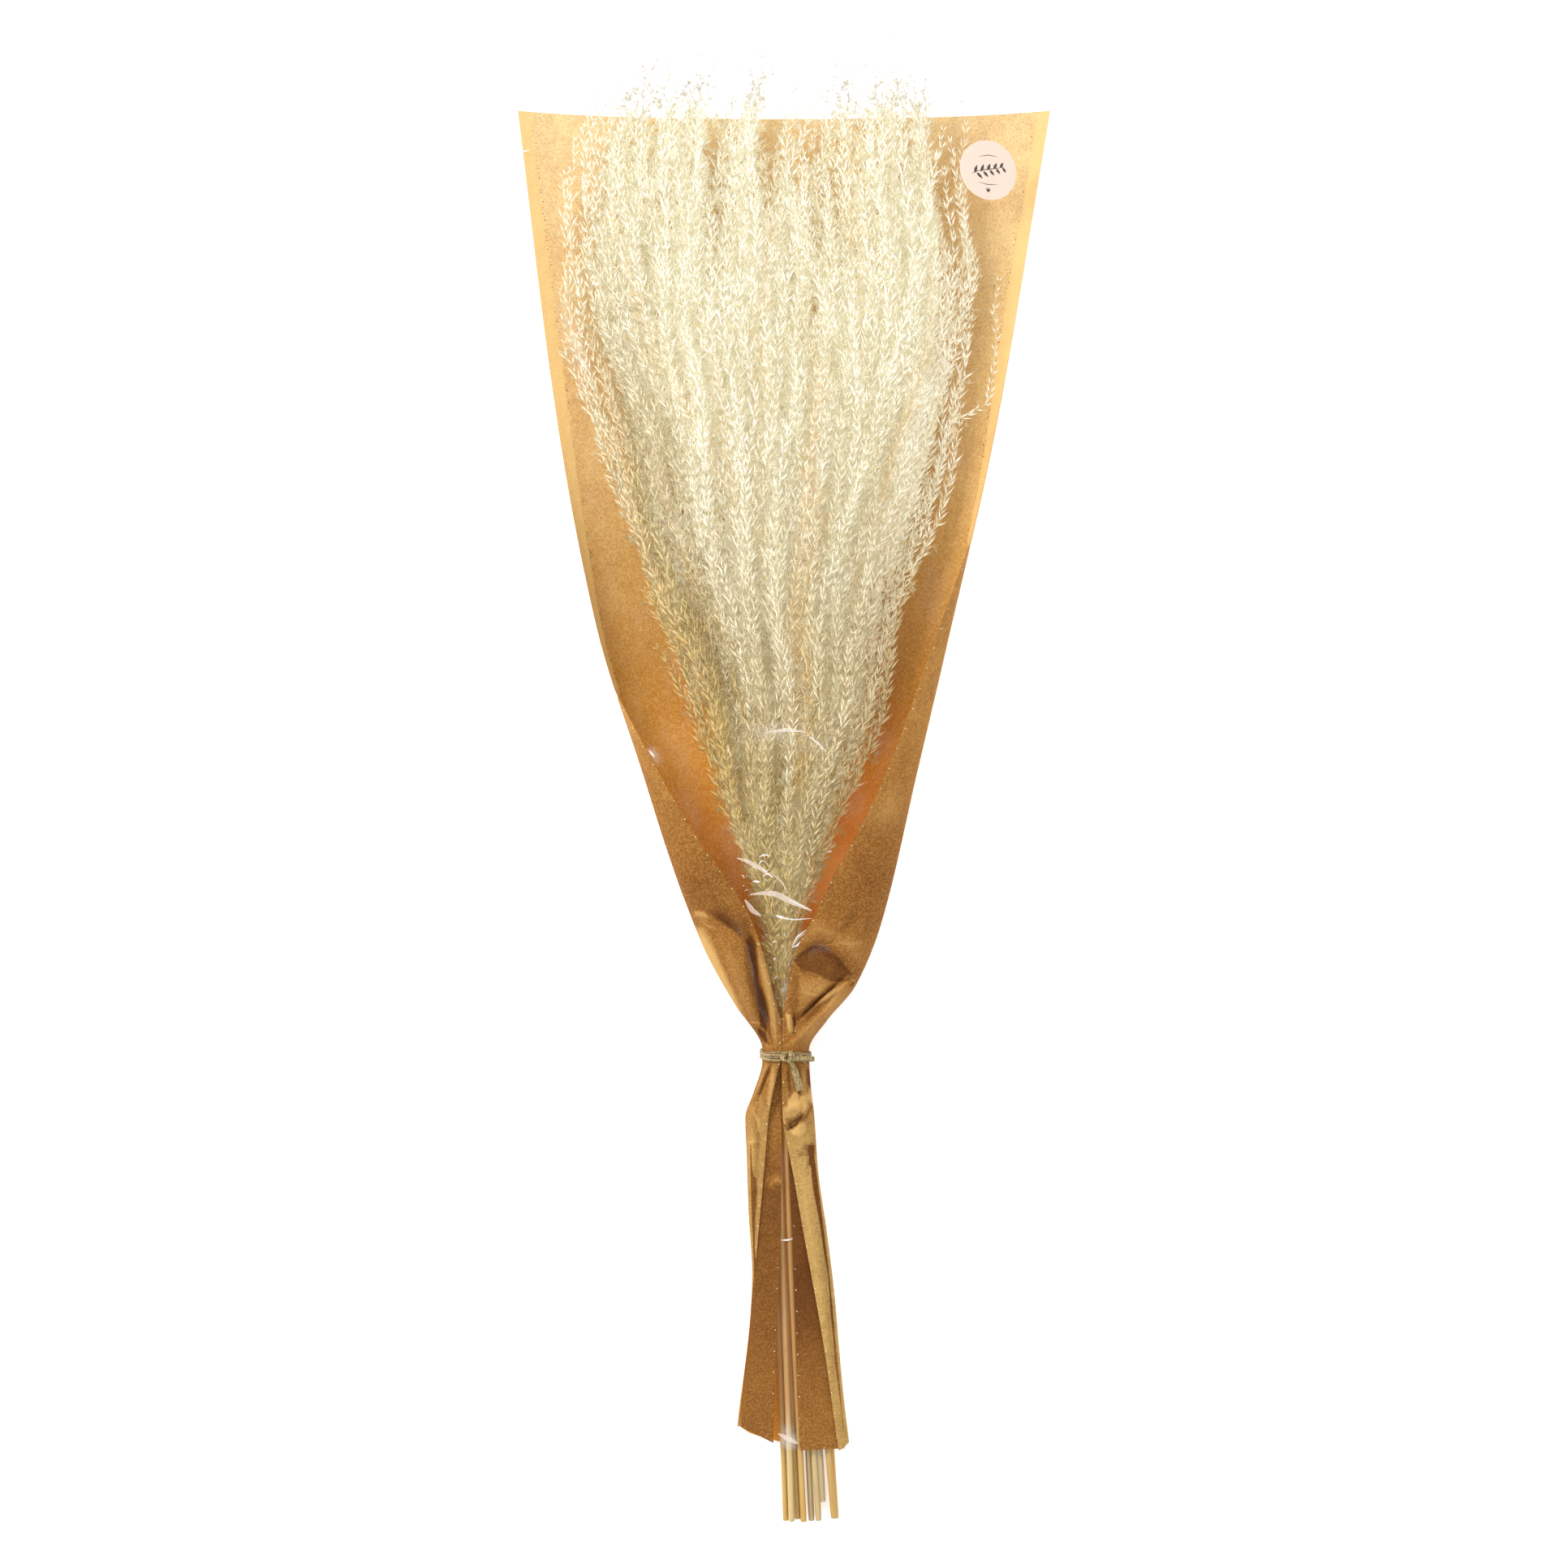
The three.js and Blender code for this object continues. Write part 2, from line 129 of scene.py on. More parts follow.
class Value:
    """An output of a node. Sums and products on it add Math nodes."""

    def __init__(self, graph, socket):
        self.graph = graph
        self.socket = socket

    def math(self, operation, first, second=0.0):
        return self.graph.node("ShaderNodeMath", {"operation": operation}, {0: first, 1: second})

    def __add__(self, other):
        return self.math("ADD", self, other)

    def __sub__(self, other):
        return self.math("SUBTRACT", self, other)

    def __rsub__(self, other):
        return self.math("SUBTRACT", other, self)

    def __mul__(self, other):
        return self.math("MULTIPLY", self, other)

    def __truediv__(self, other):
        return self.math("DIVIDE", self, other)

    def above(self, edge, soft):
        """0 below the edge and 1 above it, with a soft step between."""
        spread = {"From Min": edge - soft, "From Max": edge + soft}
        return self.graph.node("ShaderNodeMapRange", {"clamp": True}, {"Value": self, **spread})

    __radd__ = __add__
    __rmul__ = __mul__


class Graph:
    """A node tree, with one way to add a node to it."""

    def __init__(self, tree):
        self.tree = tree

    def node(self, kind, settings=None, inputs=None, output=0):
        new = self.tree.nodes.new(kind)
        for name, value in (settings or {}).items():
            if name == "stops":
                for stop, (place, colour) in zip(stops_of(new, len(value)), value):
                    stop.position = place
                    stop.color = (*colour, 1.0)
            else:
                setattr(new, name, value)
        for name, value in (inputs or {}).items():
            self.feed(new.inputs[name], value)
        return Value(self, new.outputs[output])

    def feed(self, socket, value):
        if isinstance(value, Value):
            self.tree.links.new(value.socket, socket)
        else:
            socket.default_value = value


def stops_of(ramp_node, count):
    while len(ramp_node.color_ramp.elements) < count:
        ramp_node.color_ramp.elements.new(0.5)
    return ramp_node.color_ramp.elements


def shade(red, green, blue):
    """A colour given as on a screen, 0 to 255, as light."""
    return tuple(((c / 255 + 0.055) / 1.055) ** 2.4 for c in (red, green, blue))


class Finish(Graph):
    """A material, with the few patterns that its surfaces need."""

    def __init__(self, name, roughness, **constants):
        self.material = bpy.data.materials.new(name)
        self.material.use_nodes = True
        super().__init__(self.material.node_tree)
        self.shader = self.tree.nodes["Principled BSDF"]
        self.shader.inputs["Roughness"].default_value = roughness
        for key, value in constants.items():
            self.shader.inputs[key.replace("_", " ")].default_value = value
        self.place = self.node("ShaderNodeTexCoord", output="Object")

    def grain(self, size_mm, detail=2.0, stretch=(1.0, 1.0, 1.0), output=0):
        """Noise whose spots are about size_mm across."""
        turned = self.node("ShaderNodeMapping", {}, {"Vector": self.place, "Scale": stretch})
        sizes = {"Vector": turned, "Scale": 1.0 / (size_mm * MM), "Detail": detail}
        return self.node("ShaderNodeTexNoise", {}, sizes, output)

    def mark(self, name):
        return self.node("ShaderNodeAttribute", {"attribute_name": name}, output="Fac")

    def mix(self, amount, first, second):
        inputs = {0: amount}
        for key, colour in ((6, first), (7, second)):
            inputs[key] = colour if isinstance(colour, Value) else (*colour, 1.0)
        return self.node("ShaderNodeMix", {"data_type": "RGBA"}, inputs, 2)

    def paint(self, colour):
        value = colour if isinstance(colour, Value) else (*colour, 1.0)
        self.feed(self.shader.inputs["Base Color"], value)

    def bump(self, height, depth_mm):
        raised = self.node("ShaderNodeBump", {}, {"Height": height, "Distance": depth_mm * MM})
        self.feed(self.shader.inputs["Normal"], raised)


table_top = Finish("white table", 0.9, Emission_Strength=0.42)
table_top.paint(table_top.mix(table_top.grain(300.0), (0.93, 0.93, 0.93), (0.97, 0.97, 0.97)))
table_top.feed(table_top.shader.inputs["Emission Color"], (1.0, 1.0, 1.0, 1.0))
floor_mesh = bpy.data.meshes.new("table")
FLOOR = 30.0
floor_mesh.from_pydata([(-FLOOR, -FLOOR, 0), (FLOOR, -FLOOR, 0), (FLOOR, FLOOR, 0), (-FLOOR, FLOOR, 0)], [],
                       [(0, 1, 2, 3)])
floor_mesh.materials.append(table_top.material)
floor = bpy.data.objects.new("table", floor_mesh)
floor.location.z = -0.0006
bpy.context.collection.objects.link(floor)
floor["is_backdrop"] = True

# %% [markdown]
# ## From lines of points to pieces
#
# Three shapes cover nearly everything: a sheet, which is a grid of points given a thickness; a strand,
# which is a section swept along a path; and a smooth curve through measured pairs. Plain arrays are used
# for them, because paper that folds over itself is easiest to say row by row.

# %% Curves, sheets and strands


def through(pairs):
    """A smooth function through (position, value) pairs that never overshoots them."""
    x, v = np.array(pairs, float).T
    slope = np.diff(v) / np.diff(x)
    before = np.concatenate([slope[:1], slope])
    after = np.concatenate([slope, slope[-1:]])
    turning = before * after <= 0
    tangent = np.where(turning, 0.0, 2 * before * after / np.where(turning, 1.0, before + after))

    def at(y):
        y = np.clip(y, x[0], x[-1])
        i = np.clip(np.searchsorted(x, y, side="right") - 1, 0, len(x) - 2)
        w = x[i + 1] - x[i]
        t = (y - x[i]) / w
        rise = t * t * (3 - 2 * t)
        bend = t * (1 - t) ** 2 * tangent[i] - t * t * (1 - t) * tangent[i + 1]
        return v[i] + (v[i + 1] - v[i]) * rise + w * bend

    return at


def step(value, low, high):
    t = np.clip((value - low) / (high - low), 0.0, 1.0)
    return t * t * (3 - 2 * t)


def evenly(points, count, weight=1.0):
    """The same number of points on every line, evenly spaced along it. More weight, closer points."""
    points = np.asarray(points, float)
    along = np.concatenate([[0.0], np.cumsum(weight * np.linalg.norm(np.diff(points, axis=0), axis=1))])
    at = np.linspace(0.0, along[-1], count)
    return np.stack([np.interp(at, along, points[:, k]) for k in range(3)], axis=1)


def unit(vectors):
    return vectors / np.maximum(np.linalg.norm(vectors, axis=-1, keepdims=True), 1e-9)


def normals(grid):
    return unit(np.cross(np.gradient(grid, axis=1), np.gradient(grid, axis=0)))


def closed_sheet(grid, thickness):
    """Points, faces and side (0 upper, 1 lower and edges) of a sheet of even thickness."""
    rows, columns, _ = grid.shape
    lift = normals(grid) * thickness / 2
    count = rows * columns
    at = np.arange(count).reshape(rows, columns)
    a, b, c, d = at[:-1, :-1], at[:-1, 1:], at[1:, 1:], at[1:, :-1]
    edge = [
        (at[:-1, 0], at[1:, 0], at[1:, 0] + count, at[:-1, 0] + count),
        (at[:-1, -1], at[:-1, -1] + count, at[1:, -1] + count, at[1:, -1]),
        (at[0, :-1], at[0, :-1] + count, at[0, 1:] + count, at[0, 1:]),
        (at[-1, :-1], at[-1, 1:], at[-1, 1:] + count, at[-1, :-1] + count),
    ]
    upper = np.stack([a, b, c, d], -1).reshape(-1, 4)
    lower = np.stack([a, d, c, b], -1).reshape(-1, 4) + count
    rim = np.concatenate([np.stack(quads, -1) for quads in edge])
    side = np.concatenate([np.zeros(len(upper)), np.ones(len(lower) + len(rim))])
    points = np.concatenate([(grid + lift).reshape(-1, 3), (grid - lift).reshape(-1, 3)])
    return points, np.concatenate([upper, lower, rim]), side.astype(int)


def strand(path, wide, thick, sides=8, roll=0.0, up=(0.0, 0.0, 1.0)):
    """A closed strand with an oval section along a path. Width, thickness and roll may vary."""
    path = np.asarray(path, float)
    run = unit(np.gradient(path, axis=0))
    across = unit(np.cross(run, np.broadcast_to(up, run.shape)))
    over = np.cross(across, run)
    wide, thick, roll = (np.broadcast_to(v, len(path))[:, None, None] for v in (wide, thick, roll))
    a = np.linspace(0, 2 * math.pi, sides, endpoint=False)[None, :, None]
    x = np.cos(a) * wide / 2
    z = np.sin(a) * thick / 2
    sideways = x * np.cos(roll) - z * np.sin(roll)
    upwards = x * np.sin(roll) + z * np.cos(roll)
    flat = sideways * across[:, None] + upwards * over[:, None]
    rings = path[:, None] + flat
    points = rings.reshape(-1, 3)
    faces = []
    for j in range(len(path) - 1):
        for k in range(sides):
            p = j * sides + k
            q = j * sides + (k + 1) % sides
            faces.append((p, p + sides, q + sides, q))
    faces.append(tuple(range(sides)))
    faces.append(tuple(range(len(points) - 1, len(points) - 1 - sides, -1)))
    return points, faces


def joined(shapes):
    """Several (points, faces) as one."""
    points = []
    faces = []
    start = 0
    for shape_points, shape_faces in shapes:
        points.append(np.asarray(shape_points))
        faces.extend([tuple(int(i) + start for i in face) for face in shape_faces])
        start += len(shape_points)
    return np.concatenate(points), faces


def piece(name, points, faces, finishes, slot, stands_for=(), side=None, marks=None, smooth=40.0):
    """Makes the mesh in the model's frame, gives it its finish, hangs it under the root and hides the
    imported parts that it stands for.
    """
    places = np.asarray(points, float) * MM
    places[:, 1] += TIE_Y
    mesh = bpy.data.meshes.new(name)
    mesh.from_pydata(places.tolist(), [], [tuple(int(i) for i in face) for face in faces])
    for finish in finishes:
        mesh.materials.append(finish.material)
    if side is not None:
        mesh.polygons.foreach_set("material_index", side)
    for mark, values in (marks or {}).items():
        mesh.attributes.new(mark, "FLOAT", "POINT").data.foreach_set("value", np.asarray(values, np.float32))
    mesh.shade_smooth()
    mesh.set_sharp_from_angle(angle=math.radians(smooth))
    made = bpy.data.objects.new(name, mesh)
    bpy.context.collection.objects.link(made)
    declare(made, stands_for)
    triangles = sum(len(p.vertices) - 2 for p in mesh.polygons)
    print(f"{name}: {triangles} triangles")
    return made


def declare(made, stands_for=()):
    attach(made, "root")
    if stands_for:
        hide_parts(*stands_for)


# %% [markdown]
# ## Kraft paper
#
# Kraft is one sheet with two faces: the inside is seen through the film, and the orange of light bouncing
# between its walls is painted into its colour and into a painted glow; the outside is a duller brown. Both
# are a felt of long fibres, so the pattern is four noises of different sizes, with mottling of a few
# centimetres and rare dark flecks. Creases get a painted highlight on their ridges and painted shade in their
# valleys, which a mark on the mesh carries.

# %% Kraft finishes


def kraft(name, roughness, base_of, lit, dark, **constants):
    """Paper with felt and grain, and painted highlight and painted shade on its creases. base_of gives its
    colour before these.
    """
    paper = Finish(name, roughness, **{"Specular_IOR_Level": 0.12}, **constants)
    mottle = paper.grain(24.0, 3.0)
    cloud = paper.grain(5.5, 3.0)
    fibre = paper.grain(1.15, 2.0)
    dust = paper.grain(0.8, 1.0)
    felt = base_of(paper)
    felt = paper.mix(mottle.above(0.5, 0.2) * 0.22, felt, dark)
    felt = paper.mix(cloud.above(0.5, 0.16) * 0.16, felt, dark)
    felt = paper.mix(fibre.above(0.53, 0.12) * 0.18, felt, dark)
    felt = paper.mix((1.0 - fibre.above(0.44, 0.12)) * 0.2, felt, lit)
    felt = paper.mix(dust.above(0.66, 0.05) * 0.4, felt, dark)
    # The crease mark paints a highlight on ridges and lit facets, and paints shade in valleys and shaded
    # facets.
    crease = paper.mark("crease")
    felt = paper.mix(crease.above(0.5, 0.5) * 0.75, felt, lit)
    felt = paper.mix((crease * -1.0).above(0.55, 0.55) * 0.9, felt, dark)
    paper.bump(fibre * 0.5 + mottle * 0.8 + cloud * 1.2, 0.35)
    return paper, felt


def inner_base_and_painted_bounce(paper):
    """Painted light and shade: palest at the open mouth, a painted shaded band part way down, and the deepest
    orange, painted bounce light, where the two walls face each other.
    """
    stops = [(0.0, shade(214, 142, 34)), (0.12, shade(214, 142, 36)), (0.21, shade(218, 152, 44)),
             (0.33, shade(190, 134, 48)), (0.45, shade(206, 160, 86)), (0.56, shade(218, 178, 112)),
             (1.0, shade(234, 206, 152))]
    return paper.node("ShaderNodeValToRGB", {"stops": stops}, {"Fac": paper.mark("height")})


def outer_base(paper):
    """Brown, darkest above the neck, and a lighter olive where the mark says so."""
    stops = [(0.0, shade(156, 104, 44)), (0.07, shade(146, 94, 36)), (0.15, shade(160, 108, 46)),
             (0.29, shade(186, 132, 66)), (1.0, shade(196, 150, 90))]
    brown = paper.node("ShaderNodeValToRGB", {"stops": stops}, {"Fac": paper.mark("height")})
    return paper.mix(paper.mark("skirt") * 0.85, brown, shade(202, 166, 98))


inside, inside_felt = kraft("kraft inside", 0.82, inner_base_and_painted_bounce, shade(246, 214, 152), shade(150, 84, 18),
                            Emission_Strength=0.13)
inside.paint(inside.mix(inside.mark("margin") * 0.7, inside_felt, shade(230, 192, 128)))
# The inside glows with a painted orange emission where its mark says: painted light, bounced between the
# walls and passed through the paper.
inside.feed(inside.shader.inputs["Emission Color"],
            inside.mix(inside.mark("glow"), (0.0, 0.0, 0.0), (1.0, 0.3, 0.02)))
outside, outside_felt = kraft("kraft outside", 0.82, outer_base, shade(212, 170, 104), shade(74, 32, 8))
outside.paint(outside_felt)

# %% [markdown]
# ## The sleeve's shape
#
# A real sleeve is a tapered sheet: its sides fold over the front and the tie gathers it. A cloth
# simulation of that gather would take minutes and would not land on the measured folds, so each row of
# the sheet is drawn as a section: a flat back, an oval turn-up at each side, and a flap that runs in to
# its free edge. The outline and the free edges are smooth curves through measured pairs.

# %% Outline, free edges and depth
FOOT = -200.0
MOUTH = 487.5
outline = {
    -1: through([(FOOT, -24), (-112, -16.4), (-80, -18.3), (-49, -19.3), (-32, -20), (-20, -16), (-3, -11.2),
                 (3, -11.2), (26, -25), (55, -41), (97, -57), (147, -73), (220, -96), (330, -117.4),
                 (MOUTH, -137.4)]),
    1: through([(FOOT, 33.5), (-172, 30.4), (-151, 28.4), (-126, 26.2), (-91, 22), (-60, 17.6), (-33, 15.8),
                (-3, 13), (3, 13), (18, 22), (36, 37), (67, 49.5), (147, 68.5), (209, 83), (326, 109.4),
                (MOUTH, 137.4)]),
}
flap_start = {-1: 188.0, 1: 265.0}
free_edge = {
    -1: through([(FOOT, -23.4), (-112, -15.2), (-102, -14.1), (-76, -11.8), (-46, -9.2), (-32, -8.0),
                 (-8, -3.4),
                 (-2, -1.6), (6, -1.3), (18, -1.6), (28, -4.6), (46.7, -8.8), (72.5, -17.5), (86, -25.5),
                 (111, -43), (159, -71), (188, -86.5)]),
    1: through([(FOOT, 28.2), (-192, 27.0), (-167, 23.4), (-142, 19.4), (-116, 14.6), (-91, 10.0),
                (-61, 4.7), (-46, 1.7), (-35, -0.4), (-19, -1.1), (-6, -1.2), (6, -1.1), (19, -0.9),
                (27, 0.3),
                (54, 6.1), (74, 16), (92, 24.5), (118, 39), (151, 54), (222, 80), (265, 95.6)]),
}
back_lift = through([(-40, 0), (-7, 2.2), (7, 2.2), (45, 0)])
wrap_depth = through([(FOOT, 12), (-90, 12.5), (-50, 14.5), (-15, 18), (-3, 19), (3, 19), (12, 20), (30, 25),
                      (60, 32), (100, 38), (150, 42), (188, 44)])
turn_in = through([(FOOT, 7), (0, 9), (60, 21), (150, 32), (265, 42), (MOUTH, 60)])
PAPER = 0.24


def side_section(side, y):
    """One side of the sleeve's section, from the middle of the back to the free edge."""
    reach = side * outline[side](y)
    overlap = max(reach - side * free_edge[side](y), 0.05) if y < flap_start[side] else 0.0
    base = back_lift(y) + 0.3
    rise = wrap_depth(y) / 2 - 0.3
    turn = min(turn_in(y), reach - 2)
    angle = math.radians(90 - 40 * step(y - flap_start[side], 0, 180))
    across = turn / math.sin(angle)
    a = np.linspace(0, angle, 40)
    xs = [np.linspace(0, reach - turn, 30)[:-1], reach - turn + across * np.sin(a)]
    zs = [np.zeros(29), rise * (1 - np.cos(a))]
    if overlap > 0:
        fold = min(turn, 0.6 * (reach + 4))
        end = math.pi - math.asin((fold - overlap) / fold) if overlap < fold else math.pi
        a = np.linspace(math.pi / 2, end, 40)[1:]
        xs.append(reach - fold + fold * np.sin(a))
        zs.append(rise * (1 - np.cos(a)))
        if overlap > fold + 0.1:
            run = np.linspace(reach - fold, reach - overlap, 20)[1:]
            xs.append(run)
            zs.append(np.full(len(run), 2 * rise))
    x = side * np.concatenate(xs)
    z = base + np.concatenate(zs)
    return np.stack([x, np.full(len(x), y), z], axis=1)


def sleeve_section(y, count):
    """The whole section. The flaps, where the folds are, get three times as many columns as the back."""
    line = np.concatenate([side_section(-1, y)[::-1], side_section(1, y)[1:]])
    on_flap = line[1:, 2] > back_lift(y) + wrap_depth(min(y, 188.0)) * 0.5
    return evenly(line, count, 1.0 + 2.0 * on_flap * (1 - step(y, 90, 180)))


COLUMNS = 150
heights = np.unique(np.concatenate([
    np.linspace(FOOT, -62, 36), np.linspace(-62, -46, 14), np.linspace(-46, 62, 134), np.linspace(62, 90, 24),
    np.linspace(90, MOUTH, 78)]))
bare = np.stack([sleeve_section(y, COLUMNS) for y in heights])
print("sleeve grid", bare.shape, "top row", np.round(bare[-1, 0], 1), np.round(bare[-1, -1], 1))

# %% [markdown]
# ## Folds and crumples
#
# Paper creases are straight and sharp, with flat facets between them. Each fold is a tent: highest on a
# line and falling off at a width that may differ on its two sides, so that one side catches the lamp.
# The folds near the tie are placed one by one, and the faint crumples elsewhere are scattered with a fixed
# seed. The same tents give the mark that paints highlight on ridges and shade in valleys.

# %% Folds


def tent(x, y, line, left, right, taper=0.3):
    """1 on the line, falling to 0 at the given widths, and fading at the line's two ends."""
    line = np.array(line, float)
    lengths = np.linalg.norm(np.diff(line, axis=0), axis=1)
    starts = np.concatenate([[0.0], np.cumsum(lengths)])
    best = np.zeros(np.shape(x))
    for (x0, y0), (x1, y1), length, start in zip(line[:-1], line[1:], lengths, starts):
        ux, uy = (x1 - x0) / length, (y1 - y0) / length
        t = np.clip((x - x0) * ux + (y - y0) * uy, 0, length)
        dx, dy = x - x0 - t * ux, y - y0 - t * uy
        width = np.where(ux * dy - uy * dx > 0, left, right)
        along = (start + t) / starts[-1]
        end = np.minimum(1.0, np.minimum(along, 1 - along) / taper + 0.05)
        best = np.maximum(best, np.clip(1 - np.hypot(dx, dy) / width, 0, 1) * end)
    return best


# (line, width on its left, width on its right, height, how much painted highlight or painted shade)
FRONT_FOLDS = [
    ([(-20, 74), (-17.1, 61), (-14.4, 38), (-9.5, 17.5), (-8, 4)], 3.0, 4.5, -3.2, -0.5),
    ([(-15, 62), (-9.6, 42), (-6.4, 28), (-4.6, 7)], 3.2, 2.8, 1.5, 0.7),
    ([(-39, 75), (-27, 67), (-18, 60)], 9.0, 1.3, -2.0, -0.8),
    ([(-47.5, 74.5), (-41, 73.6), (-37.6, 70.8)], 1.6, 3.0, 1.2, 0.9),
    ([(-43, 64), (-31.5, 39), (-21, 16)], 4.0, 4.5, 0.9, 0.8),
    ([(-31, 62), (-21, 32), (-14, 14)], 6.0, 4.0, 1.6, 0.25),
    ([(-12.6, 36), (-9.5, 18)], 3.0, 2.0, -1.4, -0.8),
    ([(-13.2, 15), (-8.4, 5)], 2.2, 2.2, -1.4, -1.0),
    ([(-12.6, 11.4), (-7.3, 4)], 1.1, 1.3, 1.4, 0.9),
    ([(36, 40), (22, 24.5), (10.6, 13), (1.7, 3.5)], 7.0, 2.6, 4.2, 0.4),
    ([(32.5, 42), (19.5, 31.2), (8.8, 20.5), (5.4, 15)], 1.1, 2.4, -3.6, -1.0),
    ([(7, 37), (18, 34), (29, 33)], 7.0, 8.0, 2.0, 0.35),
    ([(6.6, 50), (13, 56), (19.5, 58), (27, 53), (33, 45.5), (36, 39)], 3.0, 5.5, -2.6, -0.3),
    ([(7, 58), (18, 66), (32, 60), (42, 46)], 7.0, 4.0, 1.3, 0.3),
    ([(40, 78), (30, 64), (24, 58)], 4.0, 4.0, -0.9, -0.35),
    ([(2.2, 23), (3.2, 11)], 1.6, 1.8, 1.3, 0.6),
    ([(5.4, 23), (5.0, 11)], 1.1, 1.0, -1.5, -0.9),
    ([(24, 16), (14, 6)], 2.0, 2.4, -1.2, -0.5),
    ([(-7.3, -0.6), (-11.5, -12), (-16.2, -22)], 2.4, 1.4, 1.6, 0.4),
    ([(-5.6, -2), (-9.8, -13), (-14, -24)], 1.0, 2.0, -1.6, -0.85),
    ([(-4.8, -2), (-6.3, -16), (-8.6, -31)], 2.0, 2.0, 1.0, 0.8),
    ([(-18, -26), (-16, -44), (-15.5, -70)], 3.0, 3.0, 0.7, 0.3),
    ([(-12, -30), (-14, -52), (-15, -84)], 2.0, 2.5, -0.7, -0.45),
    ([(0.2, -28.5), (5, -26.2), (9.8, -25)], 3.4, 3.0, 1.3, 0.6),
    ([(1.0, -39), (6.2, -35.5), (9.6, -31.5)], 1.2, 1.1, -1.2, -1.0),
    ([(3.2, -40.5), (9.6, -39.2)], 2.4, 2.2, 0.9, 0.7),
    ([(9.5, -5), (10.7, -28)], 1.4, 2.0, 1.3, 0.5),
    ([(7.3, -5), (8.4, -24)], 1.2, 1.2, -1.0, -0.8),
    ([(12, -19), (15.6, -25)], 2.0, 2.0, 0.9, 0.5),
    ([(2.2, -4), (3.6, -22)], 1.2, 1.5, -0.9, -0.6),
    ([(12.5, -4), (13.6, -18)], 1.2, 1.2, -0.9, -0.6),
    ([(10.5, -44), (13.6, -52), (12, -60)], 1.6, 1.8, -0.8, -0.5),
    ([(4, -52), (9, -48), (15, -51)], 2.4, 2.0, 0.8, 0.4),
    ([(-8.6, 30), (-7.4, 14), (-5.2, 3)], 0.8, 1.2, -0.9, -0.7),
    ([(-10.6, -2), (-17, -19)], 1.4, 1.4, 1.0, 0.5),
    ([(-14, 6), (-26, 22), (-36, 40)], 1.2, 2.2, 0.8, 0.6),
    ([(-18, 18), (-12, 17.4), (-9.6, 16)], 0.7, 0.7, 0.3, 0.8),
    ([(-17, 15), (-12, 14.2)], 0.6, 0.7, -0.3, -0.7),
    ([(30, 40), (33.6, 41.5), (36.5, 38.4)], 1.0, 1.2, 0.6, 1.0),
    ([(33.4, 36.2), (36, 38.8)], 0.8, 0.9, -0.5, -1.0),
    ([(-44, 71), (-38, 67), (-33, 66)], 0.7, 0.9, 0.3, 0.55),
    ([(8, 34), (16, 32), (24, 33)], 0.8, 1.0, 0.3, 0.45),
    ([(-5.2, 26), (-4.4, 14), (-3.6, 4)], 0.8, 0.8, 0.4, 0.5),
    ([(24, 60), (34, 58), (43, 60)], 0.8, 1.2, 0.3, 0.35),
    ([(15, 26), (25, 33), (33, 39)], 1.2, 1.6, 0.9, 0.8),
    ([(-17, -26), (-13, -34), (-12, -40)], 1.4, 1.0, 0.6, 0.6),
    ([(-19, -45), (-13, -43.5)], 0.9, 1.2, 0.5, 0.7),
    ([(9.5, -60), (16, -104), (22, -150)], 3.0, 2.5, 0.6, 0.25),
    ([(15.5, -58), (21, -104), (28, -190)], 2.4, 2.6, -0.6, -0.25),
]
